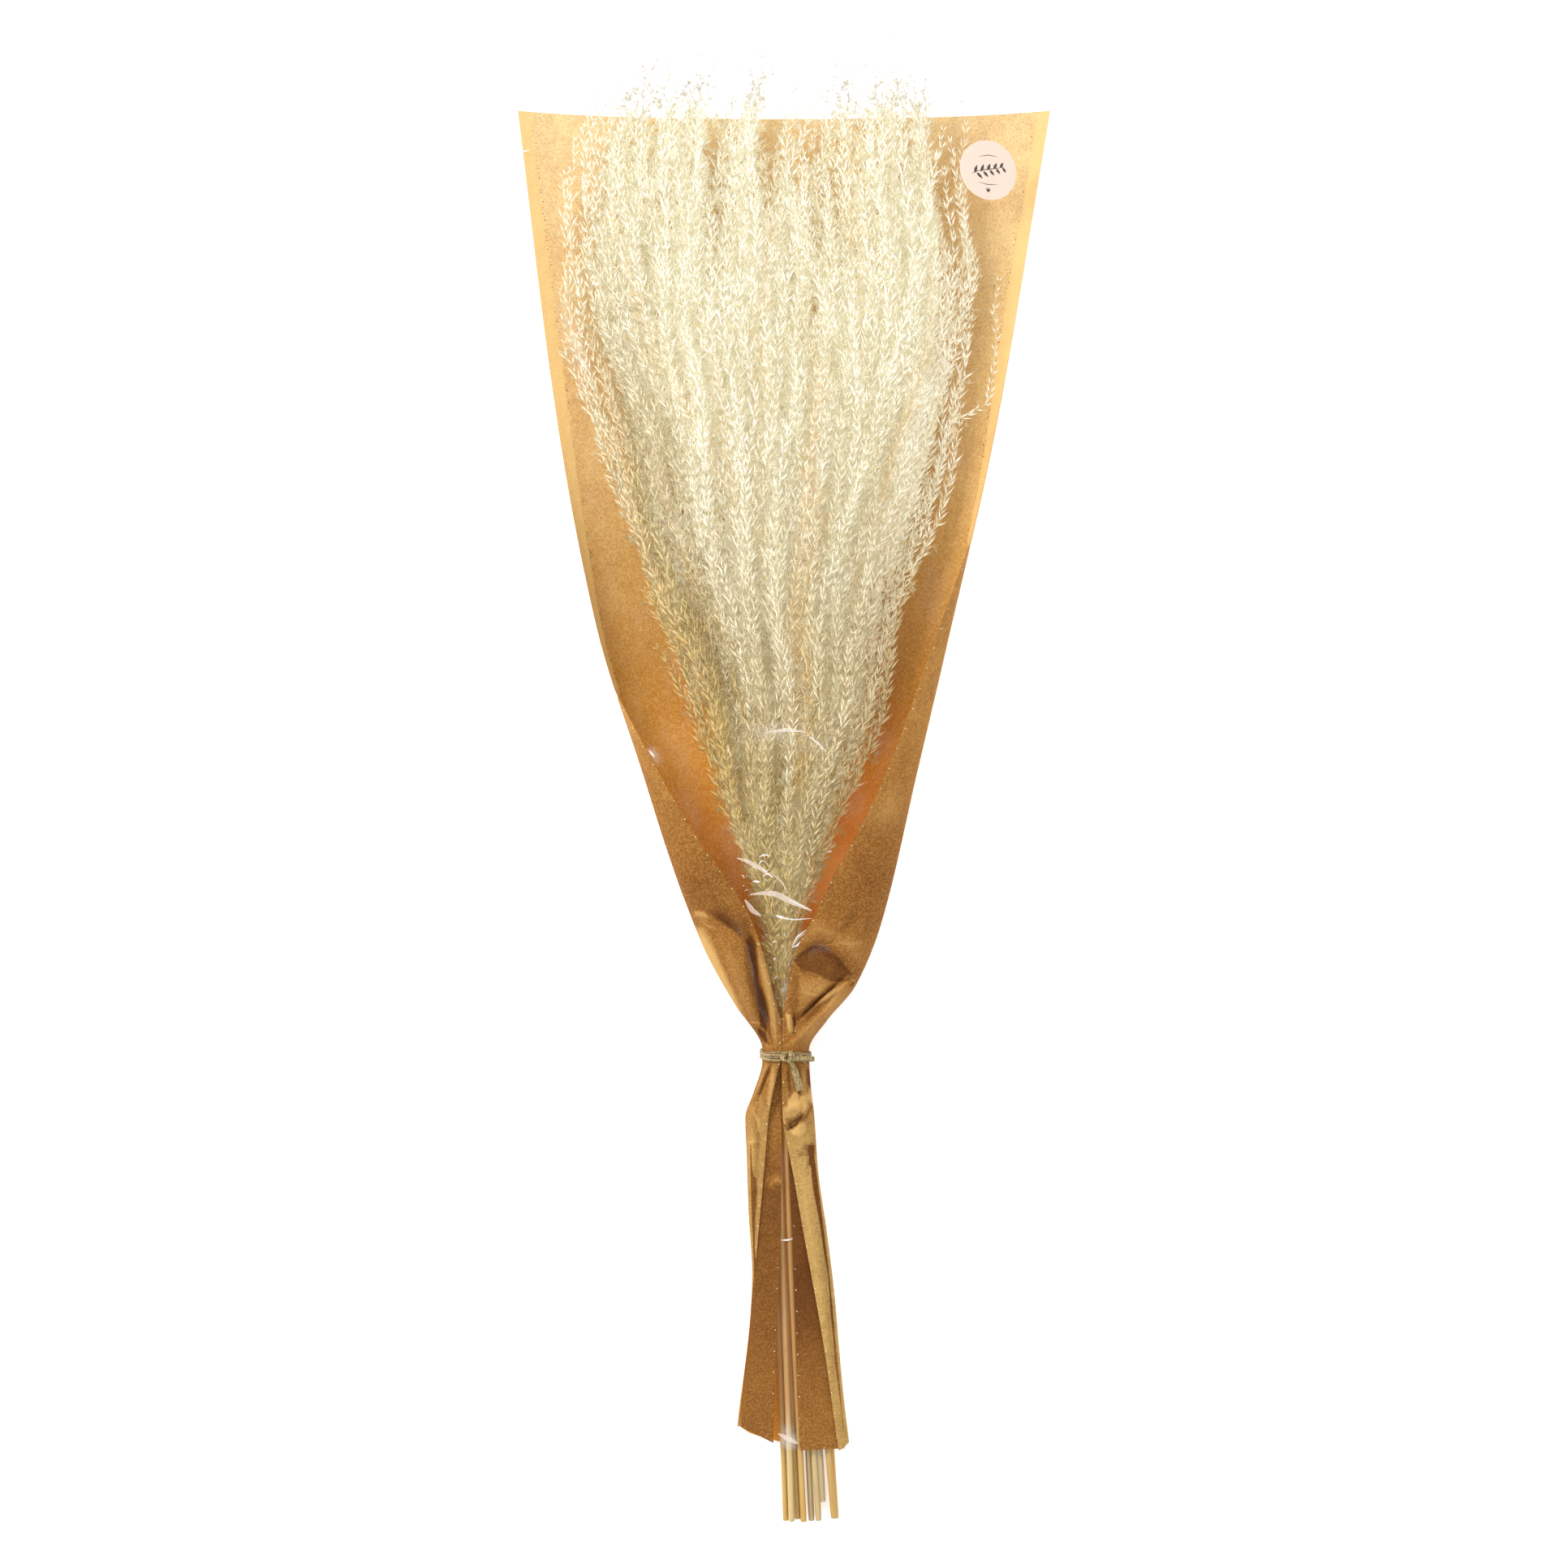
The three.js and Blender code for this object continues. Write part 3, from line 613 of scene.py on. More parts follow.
# (outline, how far its painted highlight or shade reaches past it, height, how much painted highlight or
# painted shade)
FRONT_FACETS = [
    ([(5, 50), (9, 54), (15, 57.5), (21, 57), (28, 51), (34, 44), (35.5, 40), (30, 38.5), (24, 39),
      (16, 43), (9, 44.5)],
     0.8, -0.7, -0.72),
    ([(8, 43), (14, 41), (20, 40.5), (29, 37), (24, 32), (18, 27), (11, 21), (8, 19)], 1.2, 0.4, 0.1),
    ([(4, 41), (7.5, 44), (7.5, 20), (4, 15), (3, 26)], 1.2, 0.0, -0.3),
    ([(-19.5, 60), (-16.5, 63), (-14.2, 58), (-13.2, 45), (-12.4, 38), (-9.4, 30), (-8.2, 22), (-8.8, 13),
      (-12, 16),
      (-13.4, 30), (-15.6, 45)], 0.9, -0.9, -0.95),
    ([(-13, 14), (-9.2, 12.5), (-8.2, 6), (-12, 8)], 1.0, -0.5, -0.6),
    ([(-46, 73), (-40, 72), (-27, 61), (-19, 54), (-14.5, 24), (-21, 24), (-35, 52)], 3.0, 0.5, -0.02),
    ([(0.7, 22.6), (3.6, 21.5), (6.3, 13), (3, 12.5)], 0.7, 0.7, 0.75),
    ([(1.7, -23), (5.7, -18), (9.7, -21), (7.7, -28), (2.7, -27)], 0.7, 0.5, 0.9),
    ([(0.6, -32), (5.7, -31), (8.7, -28), (9.7, -30), (5.7, -39), (2.7, -36)], 0.7, -0.6, -0.85),
    ([(3.7, -35), (8.7, -32.5), (7.7, -38), (5.7, -39.5)], 0.6, 0.5, 1.0),
    ([(9.7, -21), (13.8, -16), (14.8, -23), (10.7, -31)], 0.9, 0.5, 0.6),
    ([(11.4, -6), (13.6, -8), (14.4, -18), (11.6, -14)], 0.8, -0.4, -0.7),
    ([(5.7, -48), (17.8, -43.5), (18.4, -51), (7.7, -52)], 0.9, -0.4, -0.45),
    ([(-12, -20), (-8.4, -30), (-8.8, -45), (-14, -38)], 1.2, 0.3, 0.3),
    ([(-50, 92), (-38, 92), (-22, 64), (-28, 66), (-40, 72), (-48, 74)], 4.0, -0.3, -0.2),
    ([(44, 92), (30, 92), (17, 70), (22, 64), (36, 62), (46, 66)], 5.0, 0.3, -0.1),
    ([(-1.6, -27), (9.5, -22.5), (12, -26), (9, -30), (2.6, -34), (-0.6, -34)], 0.8, 0.5, 0.55),
    ([(2.4, -38.6), (6.2, -36.6), (10.4, -34), (11.8, -38), (8.4, -42.4)], 0.7, 0.5, 0.6),
    ([(-0.6, -35), (2.4, -35.5), (6.4, -32.5), (10.6, -29), (13, -22), (14.6, -26), (11.2, -33), (6.2, -36),
      (1.6, -38.4)],
     0.6, -0.5, -0.55),
]
# Painted highlights on the sides of the sleeve, in the same form.
SIDE_PAINTED_HIGHLIGHTS = [([(-47, 66), (-41, 66), (-30, 41), (-19.5, 16), (-22, 14), (-36, 40)], 4.0, 0.0, 0.75)]
# (place round the section from 0 at the left free edge to 1, reach above and below the tie, height)
PLEATS = [(0.16, 90, 50, 1.6), (0.24, 60, 60, -1.4), (0.33, 110, 70, 1.8), (0.40, 50, 40, -1.2),
          (0.46, 120, 90, 1.6),
          (0.53, 70, 55, -1.3), (0.59, 95, 60, 1.7), (0.66, 60, 45, -1.3), (0.74, 85, 70, 1.5),
          (0.82, 60, 40, -1.2)]


def facet_of(x, y, corners, soft):
    """1 inside a polygon and 0 outside it, with a soft edge."""
    corners = np.array(corners, float)
    inside_it = np.zeros(np.shape(x), bool)
    nearest = np.full(np.shape(x), 1e9)
    for (x0, y0), (x1, y1) in zip(corners, np.roll(corners, -1, axis=0)):
        crossing = (y0 > y) != (y1 > y)
        at = x0 + (y - y0) * (x1 - x0) / (y1 - y0 if y1 != y0 else 1e-9)
        inside_it ^= crossing & (x < at)
        length = math.hypot(x1 - x0, y1 - y0)
        t = np.clip(((x - x0) * (x1 - x0) + (y - y0) * (y1 - y0)) / length**2, 0, 1)
        nearest = np.minimum(nearest, np.hypot(x - x0 - t * (x1 - x0), y - y0 - t * (y1 - y0)))
    return np.clip(0.5 + np.where(inside_it, nearest, -nearest) / soft, 0, 1)


def fold_paper(grid):
    """Moves the grid's points by every fold, and returns beside it the mark of painted highlight and painted
    shade on the creases.
    """
    x, y, z = grid[..., 0], grid[..., 1], grid[..., 2]
    middle = back_lift(y) + wrap_depth(np.minimum(y, 188.0)) / 2
    front = step(z - middle, 0.5, 4.0) * (y < 230)
    on_top = z > middle - 2
    lift = np.zeros(x.shape)
    mark = np.zeros(x.shape)
    for line, left, right, height, tone in FRONT_FOLDS:
        amount = tent(x, y, line, left, right) * front
        lift += amount * height
        mark += amount * tone
    for corners, soft, height, tone in FRONT_FACETS:
        amount = facet_of(x, y, corners, soft) * front
        lift += amount * height
        mark += amount * tone
    # A painted highlight along the left flap's turned edge.
    for corners, soft, _, tone in SIDE_PAINTED_HIGHLIGHTS:
        mark += facet_of(x, y, corners, soft) * on_top * tone
    around = np.broadcast_to(np.linspace(0, 1, grid.shape[1]), x.shape)
    sideways = np.zeros(x.shape)
    for place, up, down, height in PLEATS:
        away = np.where(y > 0, y / up, -y / down)
        width = 0.022 * (1 + 0.8 * away)
        amount = np.clip(1 - np.abs(around - place) / width, 0, 1) * np.clip(1 - away, 0, 1) ** 0.8
        amount = amount * (1 - front)
        sideways += amount * max(height, 0.25 * height)
        # Pleat ridges get a painted highlight and pleat valleys painted shade.
        mark += amount * (0.6 if height > 0 else -0.9)
    rng = np.random.default_rng(11)
    for _ in range(110):
        cx, cy = rng.uniform(-130, 130), rng.uniform(-195, 480)
        turn, length = rng.uniform(0, math.pi), rng.uniform(8, 34)
        ends = [(cx - length * math.cos(turn), cy - length * math.sin(turn)),
                (cx + length * math.cos(turn), cy + length * math.sin(turn))]
        amount = tent(x, y, ends, rng.uniform(4, 11), rng.uniform(4, 11))
        height = rng.uniform(-0.5, 0.9) * (0.35 + 0.65 * front)
        lift += amount * height
        # Crumple ridges get a painted highlight and their hollows painted shade.
        mark += amount * height * 0.28
    moved = grid + normals(grid) * sideways[..., None]
    moved[..., 2] += lift
    floor_gap = 0.02 + PAPER / 2
    moved[..., 2] = np.maximum(moved[..., 2], floor_gap)
    low_end = step(-y, 120, 200)
    foot_line = through([(-24, 8.5), (-17.7, 4), (-5.5, 0.3), (10, -3.4), (28, -3.4), (33.5, 0)])
    moved[..., 1] += foot_line(x) * low_end
    moved[..., 1] -= 3.2 * (1 - np.clip(np.abs(x) / 136, 0, 1) ** 2) * step(y, 380, MOUTH)
    return moved, np.clip(mark, -1, 1)


paper_grid, crease = fold_paper(bare)
spacing = np.linalg.norm(np.diff(bare, axis=1), axis=2).sum(axis=1)
print("section length from", round(spacing.min(), 1), "to", round(spacing.max(), 1), "mm")

# %% [markdown]
# ## The paper piece
#
# Below the tie the sheet's edges are folded in once more, so two narrow panels lie over the stems inside
# the skirt. They are two small sheets of the same paper, and they are joined to the sleeve as one piece.

# %% Sleeve and inner panels
SEAM_INSET = 7.0


def panel(inner, outer, top, bottom_inner, bottom_outer, height, columns=18, rows=70):
    """A strip between two curves of x over y, with a slanted foot."""
    u = np.linspace(0, 1, columns)[None, :]
    t = np.linspace(0, 1, rows)[:, None]
    foot = bottom_outer + (bottom_inner - bottom_outer) * u
    y = foot + (top - foot) * t
    x = outer(y) + (inner(y) - outer(y)) * u
    ripple = 0.35 * np.sin(y / 13.0 + 4 * u) + 0.25 * np.sin(y / 5.1 + 2.0)
    z = height(y) + ripple * (0.3 + 0.7 * u)
    return np.stack([x, y, z], axis=2)


left_inner = through([(-202, -5.5), (-182, -5), (-151, -4), (-116, -2.5), (-90, -1.6), (-1, -1.3)])
left_outer = through([(-202, -23.2), (-112, -15.6), (-80, -16.6), (-49, -17.4), (-26, -12.0), (-1, -5.5)])
panel_height = through([(-205, 10.1), (-110, 10.1), (-50, 12.8), (-20, 15.8), (0, 18.2)])
right_inner = through([(-205, 8.6), (-193, 7.6), (-91, 4.4), (-50, 2.2)])
right_outer = through([(-205, 31.4), (-172, 29), (-151, 26.8), (-126, 24.6), (-91, 20.6), (-50, 15.5)])
left_panel = panel(left_inner, left_outer, -1.5, -199.7, -191.5, panel_height)
right_panel = panel(right_inner, right_outer, -46, -203.6, -202.6, panel_height)[:, ::-1]
facet = tent(left_panel[..., 0], left_panel[..., 1], [(-8, -67), (-4, -64), (0, -66)], 4.6, 2.2, 0.1)
left_panel[..., 2] += 0.7 * facet

sheets = [closed_sheet(grid, PAPER) for grid in (paper_grid, left_panel, right_panel)]
sleeve_points, sleeve_faces = joined([s[:2] for s in sheets])
sleeve_side = np.concatenate([s[2] for s in sheets[:1]] + [1 + 0 * s[2] for s in sheets[1:]])


def per_point(main, left=0.0, right=0.0):
    """Marks for the sleeve and the two panels, for the upper and then the lower face of each."""
    parts = [np.broadcast_to(v, g.shape[:2]).ravel() for v, g in
             ((main, paper_grid), (left, left_panel), (right, right_panel))]
    return np.concatenate([np.tile(part, 2) for part in parts])


gone = np.concatenate([0 * bare[:, :1, 0], np.cumsum(np.linalg.norm(np.diff(bare, axis=1), axis=2),
                                                     axis=1)], axis=1)
to_edge = np.minimum(gone, gone[:, -1:] - gone)
margin = 1 - step(to_edge, SEAM_INSET - 0.6, SEAM_INSET + 0.6)
y_grid = bare[..., 1]
height_mark = np.clip((y_grid - 60) / (MOUTH - 60), 0, 1)
skirt_tone = step(-y_grid, 5, 60) * (0.7 + 0.3 * step(bare[..., 0], -3, 6))
near_foot = [step(-left_panel[..., 1], 60, 200), step(-right_panel[..., 1], 115, 200)]
tongue = 1 - step(-left_panel[..., 1], 34, 74)
# Painted light on the two inner panels: a highlight on the left panel's small facet, painted shade on the
# left panel below its tongue's top and over the right panel, with less shade towards the foot.
left_panel_painted_light = facet * 0.9 + 0.66 * (tongue - 1) + 0.42 * near_foot[0]
# Painted glow: faint in the V from about 45 to 150 mm above the tie, stronger on its right, and strongest
# among the stems below the tie.
glow = (1 - step(y_grid, 110, 200)) * step(y_grid, 30, 60) * (0.4 + 0.6 * step(bare[..., 0], -8, 12))
glow = glow + 1.6 * step(-y_grid, 25, 60)
# A pale band low on the right of the inside, painted light where the right flap shades it.
low_band = step(y_grid, 72, 84) * (1 - step(y_grid, 98, 116))
low_right = step(bare[..., 0], 6, 14) * low_band * (bare[..., 2] < 12)
marks = {
    "crease": per_point(np.clip(crease + 0.45 * low_right, -1, 1), left_panel_painted_light, -0.9 + 0.85 * near_foot[1]),
    "glow": per_point(glow),
    "margin": per_point(margin),
    "height": per_point(height_mark),
    "skirt": per_point(skirt_tone),
}
kraft_sleeve = piece("sleeve_paper", sleeve_points, sleeve_faces, [inside, outside], "kraft_paper",
                     ("kraft_sleeve",), sleeve_side, marks, smooth=50.0)

# %% [markdown]
# ## Clear film
#
# Polypropylene film is all but invisible except where a wrinkle turns to the lamp. Glass shading on so thin a
# sheet only adds noise, so the film is a glossy white with a low alpha, and its wrinkles are real ridges
# whose higher alpha paints their highlight white. Its long edges follow the paper's free edges, a seam's
# width in.

# %% Film surface
FILM = 0.08
FILM_FOOT = -204.0
FILM_TOP = 480.0
film_crown = through([(FILM_FOOT, 8.8), (-110, 9), (-50, 11.8), (0, 15.6), (30, 19), (60, 25), (100, 34),
                      (150, 43), (250, 54), (350, 59), (425, 59), (FILM_TOP, 52)])
film_left_foot = through([(FILM_FOOT, -3), (-100, -6), (-30, -6.4)])


def seam_line(side, y):
    """One side's section, its length, and how far in from its free edge the film is welded."""
    line = evenly(side_section(side, y), 200)
    total = np.linalg.norm(np.diff(line, axis=0), axis=1).sum()
    return line, total, min(SEAM_INSET, 0.3 * abs(outline[side](y)))


def weld(side, y):
    """Where the film is welded to the paper's inner face."""
    line, total, inset = seam_line(side, min(max(y, FOOT), MOUTH))
    at = round((1 - inset / total) * 199)
    run = unit(line[at] - line[at - 1])
    return line[at] + np.array([-run[2], 0.0, run[0]]) * side * 1.3


def film_section(y, count):
    a, b = weld(-1, y), weld(1, y)
    if y < -30:
        a = np.array([film_left_foot(y), y, film_crown(y)])
        b = np.array([outline[1](y) - 8, y, film_crown(y)])
    u = np.linspace(-1, 1, count)[:, None]
    line = a + (b - a) * (u + 1) / 2
    line[:, 2] += (film_crown(y) - (a[2] + b[2]) / 2) * (1 - np.abs(u[:, 0]) ** 3.2)
    line[:, 1] = y
    return line


film_rows = np.unique(np.concatenate([np.linspace(FILM_FOOT, 40, 50), np.linspace(40, 110, 45),
                                      np.linspace(110, FILM_TOP, 60)]))
film_grid = np.stack([film_section(y, 51) for y in film_rows])
# (line, width, strength: the ridge's height and the alpha of its painted white highlight)
WRINKLES = [
    ([(8, 52), (9, 58), (12, 62)], 2.2, 0.12),
    ([(-24, 168), (0, 166), (22, 158)], 3.5, 0.06), ([(-78, 160), (-62, 150)], 3.0, 0.25),
    ([(-2, -195), (7, -200)], 4.5, 0.3),
    ([(-1, 40), (3, 26)], 2.4, 0.22), ([(-118, 400), (-96, 330)], 5.0, 0.06),
    ([(60, 300), (88, 380)], 6.0, 0.06),
]
wrinkle = np.zeros(film_grid.shape[:2])
for line, wide, strength in WRINKLES:
    wrinkle = np.maximum(wrinkle, strength * tent(film_grid[..., 0], film_grid[..., 1], line, wide, wide,
                                                  0.35))
film_grid[..., 2] += 1.6 * wrinkle

film = Finish("clear film", 0.12, IOR=1.49)
film.paint((1.0, 1.0, 1.0))
streak = film.grain(14.0, 2.0, (1.0, 0.35, 1.0)).above(0.62, 0.1)
# Higher alpha on the wrinkles shows their white as a painted highlight.
film.feed(film.shader.inputs["Alpha"], 0.005 + streak * 0.011 + film.mark("wrinkle"))


def hem(side, y, start):
    """The film that doubles back under a folded flap: out from the weld, and back to where it crosses."""
    s = np.linspace(0, 1, 10)[:, None]
    if y < -30:
        back = start + s * np.array([side * 0.15, 0.0, 0.0])
        out = back + np.array([0.0, 0.0, 0.6])
    else:
        line, total, inset = seam_line(side, y)
        folded = side * (outline[side](y) - free_edge[side](y)) if y < flap_start[side] else 0.0
        deep = max(0.15, 0.8 * (folded - inset) * float(step(y, -10, 20)))
        at = (1 - (inset + deep * s[:, 0]) / total) * 199
        k = np.clip(at.astype(int), 1, 198)
        base = line[k] + (line[k + 1] - line[k]) * (at - k)[:, None]
        run = unit(line[k] - line[k - 1])
        inward = np.stack([-run[:, 2], 0 * run[:, 0], run[:, 0]], axis=1) * side
        sag = 4.2 * float(1 - step(y, 75, 110)) * s
        out, back = base + inward * (0.7 + sag), base + inward * (1.3 + sag)
    turn = (out[-1] + back[-1]) / 2 + unit(out[-1] - out[-2]) * 0.3
    return np.concatenate([out, turn[None], back[:0:-1]])


hems = {side: np.stack([hem(side, y, row[0 if side < 0 else -1]) for y, row in zip(film_rows, film_grid)])
        for side in (-1, 1)}
whole_film = np.concatenate([hems[-1], film_grid, hems[1][:, ::-1]], axis=1)
hem_columns = hems[-1].shape[1]
wrinkle = np.pad(wrinkle, ((0, 0), (hem_columns, hem_columns)))
film_points, film_faces, _ = closed_sheet(whole_film, FILM)
clear_front = piece("film_front", film_points, film_faces, [film], "clear_film", ("clear_front",),
                    marks={"wrinkle": np.tile(wrinkle.ravel(), 2)}, smooth=60.0)

# %% [markdown]
# ## Rows of small marks along a line
#
# The hot weld leaves a row of tiny pale dots along the flaps and dark singed specks along the open
# sides. They repeat along a line, so Geometry Nodes place them: the line is cut at a spacing, a small
# low dome is put on each point with its own size, and the result is made a plain mesh.

# %% Geometry Nodes helper


def tree_with(name, inputs):
    """A new node group with a geometry in and out, and named inputs."""
    tree = bpy.data.node_groups.new(name, "GeometryNodeTree")
    tree.interface.new_socket("Geometry", in_out="OUTPUT", socket_type="NodeSocketGeometry")
    tree.interface.new_socket("Geometry", in_out="INPUT", socket_type="NodeSocketGeometry")
    for label, kind in inputs:
        tree.interface.new_socket(label, in_out="INPUT", socket_type="NodeSocket" + kind)
    graph = Graph(tree)
    start = tree.nodes.new("NodeGroupInput")
    given = {socket.name: Value(graph, socket) for socket in start.outputs if socket.name}
    return graph, given


def finish_tree(graph, geometry, material):
    real = graph.node("GeometryNodeRealizeInstances", {}, {0: geometry})
    dressed = graph.node("GeometryNodeSetMaterial", {}, {"Geometry": real, "Material": material})
    end = graph.tree.nodes.new("NodeGroupOutput")
    graph.feed(end.inputs[0], dressed)
    return graph.tree


def grown(name, base_mesh, tree, values):
    """Runs a node group on a mesh and keeps the result as a plain mesh at the origin."""
    seed_object = bpy.data.objects.new(name + "_lines", base_mesh)
    bpy.context.collection.objects.link(seed_object)
    modifier = seed_object.modifiers.new("grow", "NODES")
    modifier.node_group = tree
    keys = {item.name: item.identifier for item in tree.interface.items_tree if item.in_out == "INPUT"}
    for label, value in values.items():
        modifier[keys[label]] = value
    bpy.context.view_layer.update()
    evaluated = seed_object.evaluated_get(bpy.context.evaluated_depsgraph_get())
    mesh = bpy.data.meshes.new_from_object(evaluated)
    mesh.name = name
    seed_object.modifiers.remove(modifier)
    bpy.data.objects.remove(seed_object)
    made = bpy.data.objects.new(name, mesh)
    bpy.context.collection.objects.link(made)
    mesh.calc_loop_triangles()
    print(f"{name}: {len(mesh.loop_triangles)} triangles")
    return made


def lines_mesh(name, lines, marks=None):
    """Open lines of points, in the maker's millimetres, as a mesh of edges in the model's frame."""
    points = np.concatenate(lines) * MM
    points[:, 1] += TIE_Y
    edges = []
    start = 0
    for line in lines:
        edges.extend((start + k, start + k + 1) for k in range(len(line) - 1))
        start += len(line)
    mesh = bpy.data.meshes.new(name)
    mesh.from_pydata(points.tolist(), edges, [])
    for mark, values in (marks or {}).items():
        mesh.attributes.new(mark, "FLOAT", "POINT").data.foreach_set("value",
            np.concatenate(values).astype(np.float32))
    return mesh


def hidden(name, points, faces, marks=None):
    """A small shape that the node groups put in many places, and that is removed at the end."""
    mesh = bpy.data.meshes.new(name)
    mesh.from_pydata((np.asarray(points) * MM).tolist(), [], [tuple(int(i) for i in f) for f in faces])
    for mark, values in (marks or {}).items():
        mesh.attributes.new(mark, "FLOAT", "POINT").data.foreach_set("value", np.asarray(values, np.float32))
    mesh.shade_smooth()
    return bpy.data.objects.new(name, mesh)


def random_between(graph, low, high, seed, whole=False):
    settings = {"data_type": "INT" if whole else "FLOAT"}
    first = 4 if whole else 2
    return graph.node("FunctionNodeRandomValue", settings, {first: low, first + 1: high, 8: seed},
                      2 if whole else 1)


# %% Weld dots and specks
DOT_SIDES = 6
ring_angles = np.linspace(0, 2 * math.pi, DOT_SIDES, endpoint=False)
ring_points = np.stack([np.cos(ring_angles), np.sin(ring_angles), np.zeros(DOT_SIDES)], axis=1)
dot_points = np.concatenate([ring_points, [[0, 0, 0.45], [0, 0, -0.3]]])
dot_faces = [(k, (k + 1) % DOT_SIDES, DOT_SIDES) for k in range(DOT_SIDES)]
dot_faces += [((k + 1) % DOT_SIDES, k, DOT_SIDES + 1) for k in range(DOT_SIDES)]
dome = hidden("dome", dot_points, dot_faces)

graph, given = tree_with("marks along a line", [
    ("Spacing", "Float"), ("Smallest", "Float"), ("Largest", "Float"), ("Scatter", "Float"), ("Seed", "Int"),
    ("Shape", "Object"), ("Finish", "Material")])
curve = graph.node("GeometryNodeMeshToCurve", {}, {0: given["Geometry"]})
cut = graph.node("GeometryNodeResampleCurve", {"mode": "LENGTH"},
                 {"Curve": curve, "Length": given["Spacing"]})
loose = graph.node("GeometryNodeCurveToPoints", {"mode": "EVALUATED"}, {0: cut})
sway = random_between(graph, -1.0, 1.0, given["Seed"]) * given["Scatter"]
slide = random_between(graph, -1.0, 1.0, given["Seed"] + 5.0) * given["Scatter"]
moved_by = graph.node("ShaderNodeCombineXYZ", {}, {0: sway, 1: slide})
strewn = graph.node("GeometryNodeSetPosition", {}, {0: loose, "Offset": moved_by})
what = graph.node("GeometryNodeObjectInfo", {}, {"Object": given["Shape"]}, "Geometry")
size = random_between(graph, given["Smallest"], given["Largest"], given["Seed"] + 9.0)
placed_marks = graph.node("GeometryNodeInstanceOnPoints", {},
                          {"Points": strewn, "Instance": what, "Scale": size})
marks_tree = finish_tree(graph, placed_marks, given["Finish"])


def edge_line(side, inset, low, high, lift):
    """A line on the folded paper, a little in from one free edge. Lift is towards the inner face."""
    inner = normals(paper_grid)
    line = []
    for row, y in enumerate(heights):
        if low <= y <= high:
            at = inset / spacing[row] * (COLUMNS - 1)
            at = at if side < 0 else COLUMNS - 1 - at
            k = min(int(at), COLUMNS - 2)
            point = paper_grid[row, k] + (paper_grid[row, k + 1] - paper_grid[row, k]) * (at - k)
            line.append(point + inner[row, k] * lift)
    return np.array(line)


weld_dot = Finish("weld dot", 0.4)
weld_dot.paint(weld_dot.mix(weld_dot.grain(0.6), shade(250, 232, 190), shade(232, 206, 156)))
singe = Finish("singed speck", 0.7)
singe.paint(singe.mix(singe.grain(0.8), shade(96, 60, 26), shade(150, 104, 56)))
dot_lines = [edge_line(-1, 1.2, -110, 178, -0.16), edge_line(1, 1.2, -196, 255, -0.16)]
for inner_curve, height, low, high in ((left_inner, 10.35, -196, -44), (right_inner, 10.5, -198, -66)):
    ys = np.linspace(low, high, 40)
    shift = -0.9 if inner_curve is left_inner else 0.9
    dot_lines.append(np.stack([inner_curve(ys) + shift, ys, np.full(40, height)], axis=1))
dots = grown("weld_dots", lines_mesh("weld_dots", dot_lines), marks_tree, {
    "Spacing": 10.7 * MM, "Smallest": 0.3, "Largest": 0.46, "Scatter": 0.15 * MM, "Seed": 3,
    "Shape": dome, "Finish": weld_dot.material})
declare(dots)
speck_lines = [edge_line(-1, SEAM_INSET, 150, 478, 0.16), edge_line(1, SEAM_INSET, 270, 478, 0.16)]
specks = grown("weld_specks", lines_mesh("weld_specks", speck_lines), marks_tree, {
    "Spacing": 2.1 * MM, "Smallest": 0.1, "Largest": 0.38, "Scatter": 0.7 * MM, "Seed": 8,
    "Shape": dome, "Finish": singe.material})
declare(specks)

# %% [markdown]
# ## The round label
#
# A thin paper disc that follows the film under it. The printed motif is a generic sprig: a stalk with
# pairs of pointed leaves, cut as thin raised shapes, because ink that is real geometry stays sharp close
# up and needs no image.

# %% Label and its sprig
film_ys = film_rows


def film_height(x, y):
    """The film's height at a place, from the nearest rows of its grid."""
    row = np.clip(np.searchsorted(film_ys, y) - 1, 0, len(film_ys) - 2)
    t = np.clip((y - film_ys[row]) / (film_ys[row + 1] - film_ys[row]), 0, 1)
    low = np.interp(x, film_grid[row, :, 0], film_grid[row, :, 2])
    high = np.interp(x, film_grid[row + 1, :, 0], film_grid[row + 1, :, 2])
    return low + (high - low) * t


def over_film(x, y, lift):
    flat = [film_height(px, py) + lift for px, py in zip(np.ravel(x), np.ravel(y))]
    return np.stack([x, y, np.reshape(flat, np.shape(x))], axis=-1)


LABEL_R = 15.0
turns = np.linspace(0, 2 * math.pi, 97)
radii = np.linspace(0.02, LABEL_R, 20)
ring_x = LABEL_X + np.outer(radii, np.cos(turns))
ring_y = LABEL_Y + np.outer(radii, np.sin(turns))
disc = over_film(ring_x, ring_y, 0.32)[:, ::-1]
label_points, label_faces, _ = closed_sheet(disc, 0.14)
sticker = Finish("label paper", 0.5, **{"Coat_Weight": 0.15})
blush = sticker.mix(sticker.grain(9.0), shade(246, 223, 207), shade(243, 218, 200))
sticker.paint(sticker.mix(sticker.grain(0.5) * 0.06, blush, shade(220, 180, 160)))
sticker.bump(sticker.grain(1.4), 0.05)
label = piece("label_disc", label_points, label_faces, [sticker], "label", ("round_label",))


def leaf(x, y, length, width, degrees):
    """A pointed leaf lying on the label, as a small grid from its stalk to its tip."""
    t = np.linspace(0, 1, 12)[:, None]
    s = np.linspace(-1, 1, 5)[None, :]
    along = length * t + 0 * s
    across = width / 2 * s * np.sin(math.pi * np.clip(t, 0.02, 0.985) ** 0.8)
    a = math.radians(degrees)
    px = LABEL_X + x + along * math.cos(a) - across * math.sin(a)
    py = LABEL_Y + y + along * math.sin(a) + across * math.cos(a)
    return closed_sheet(over_film(px, py, 0.42)[:, ::-1], 0.06)[:2]


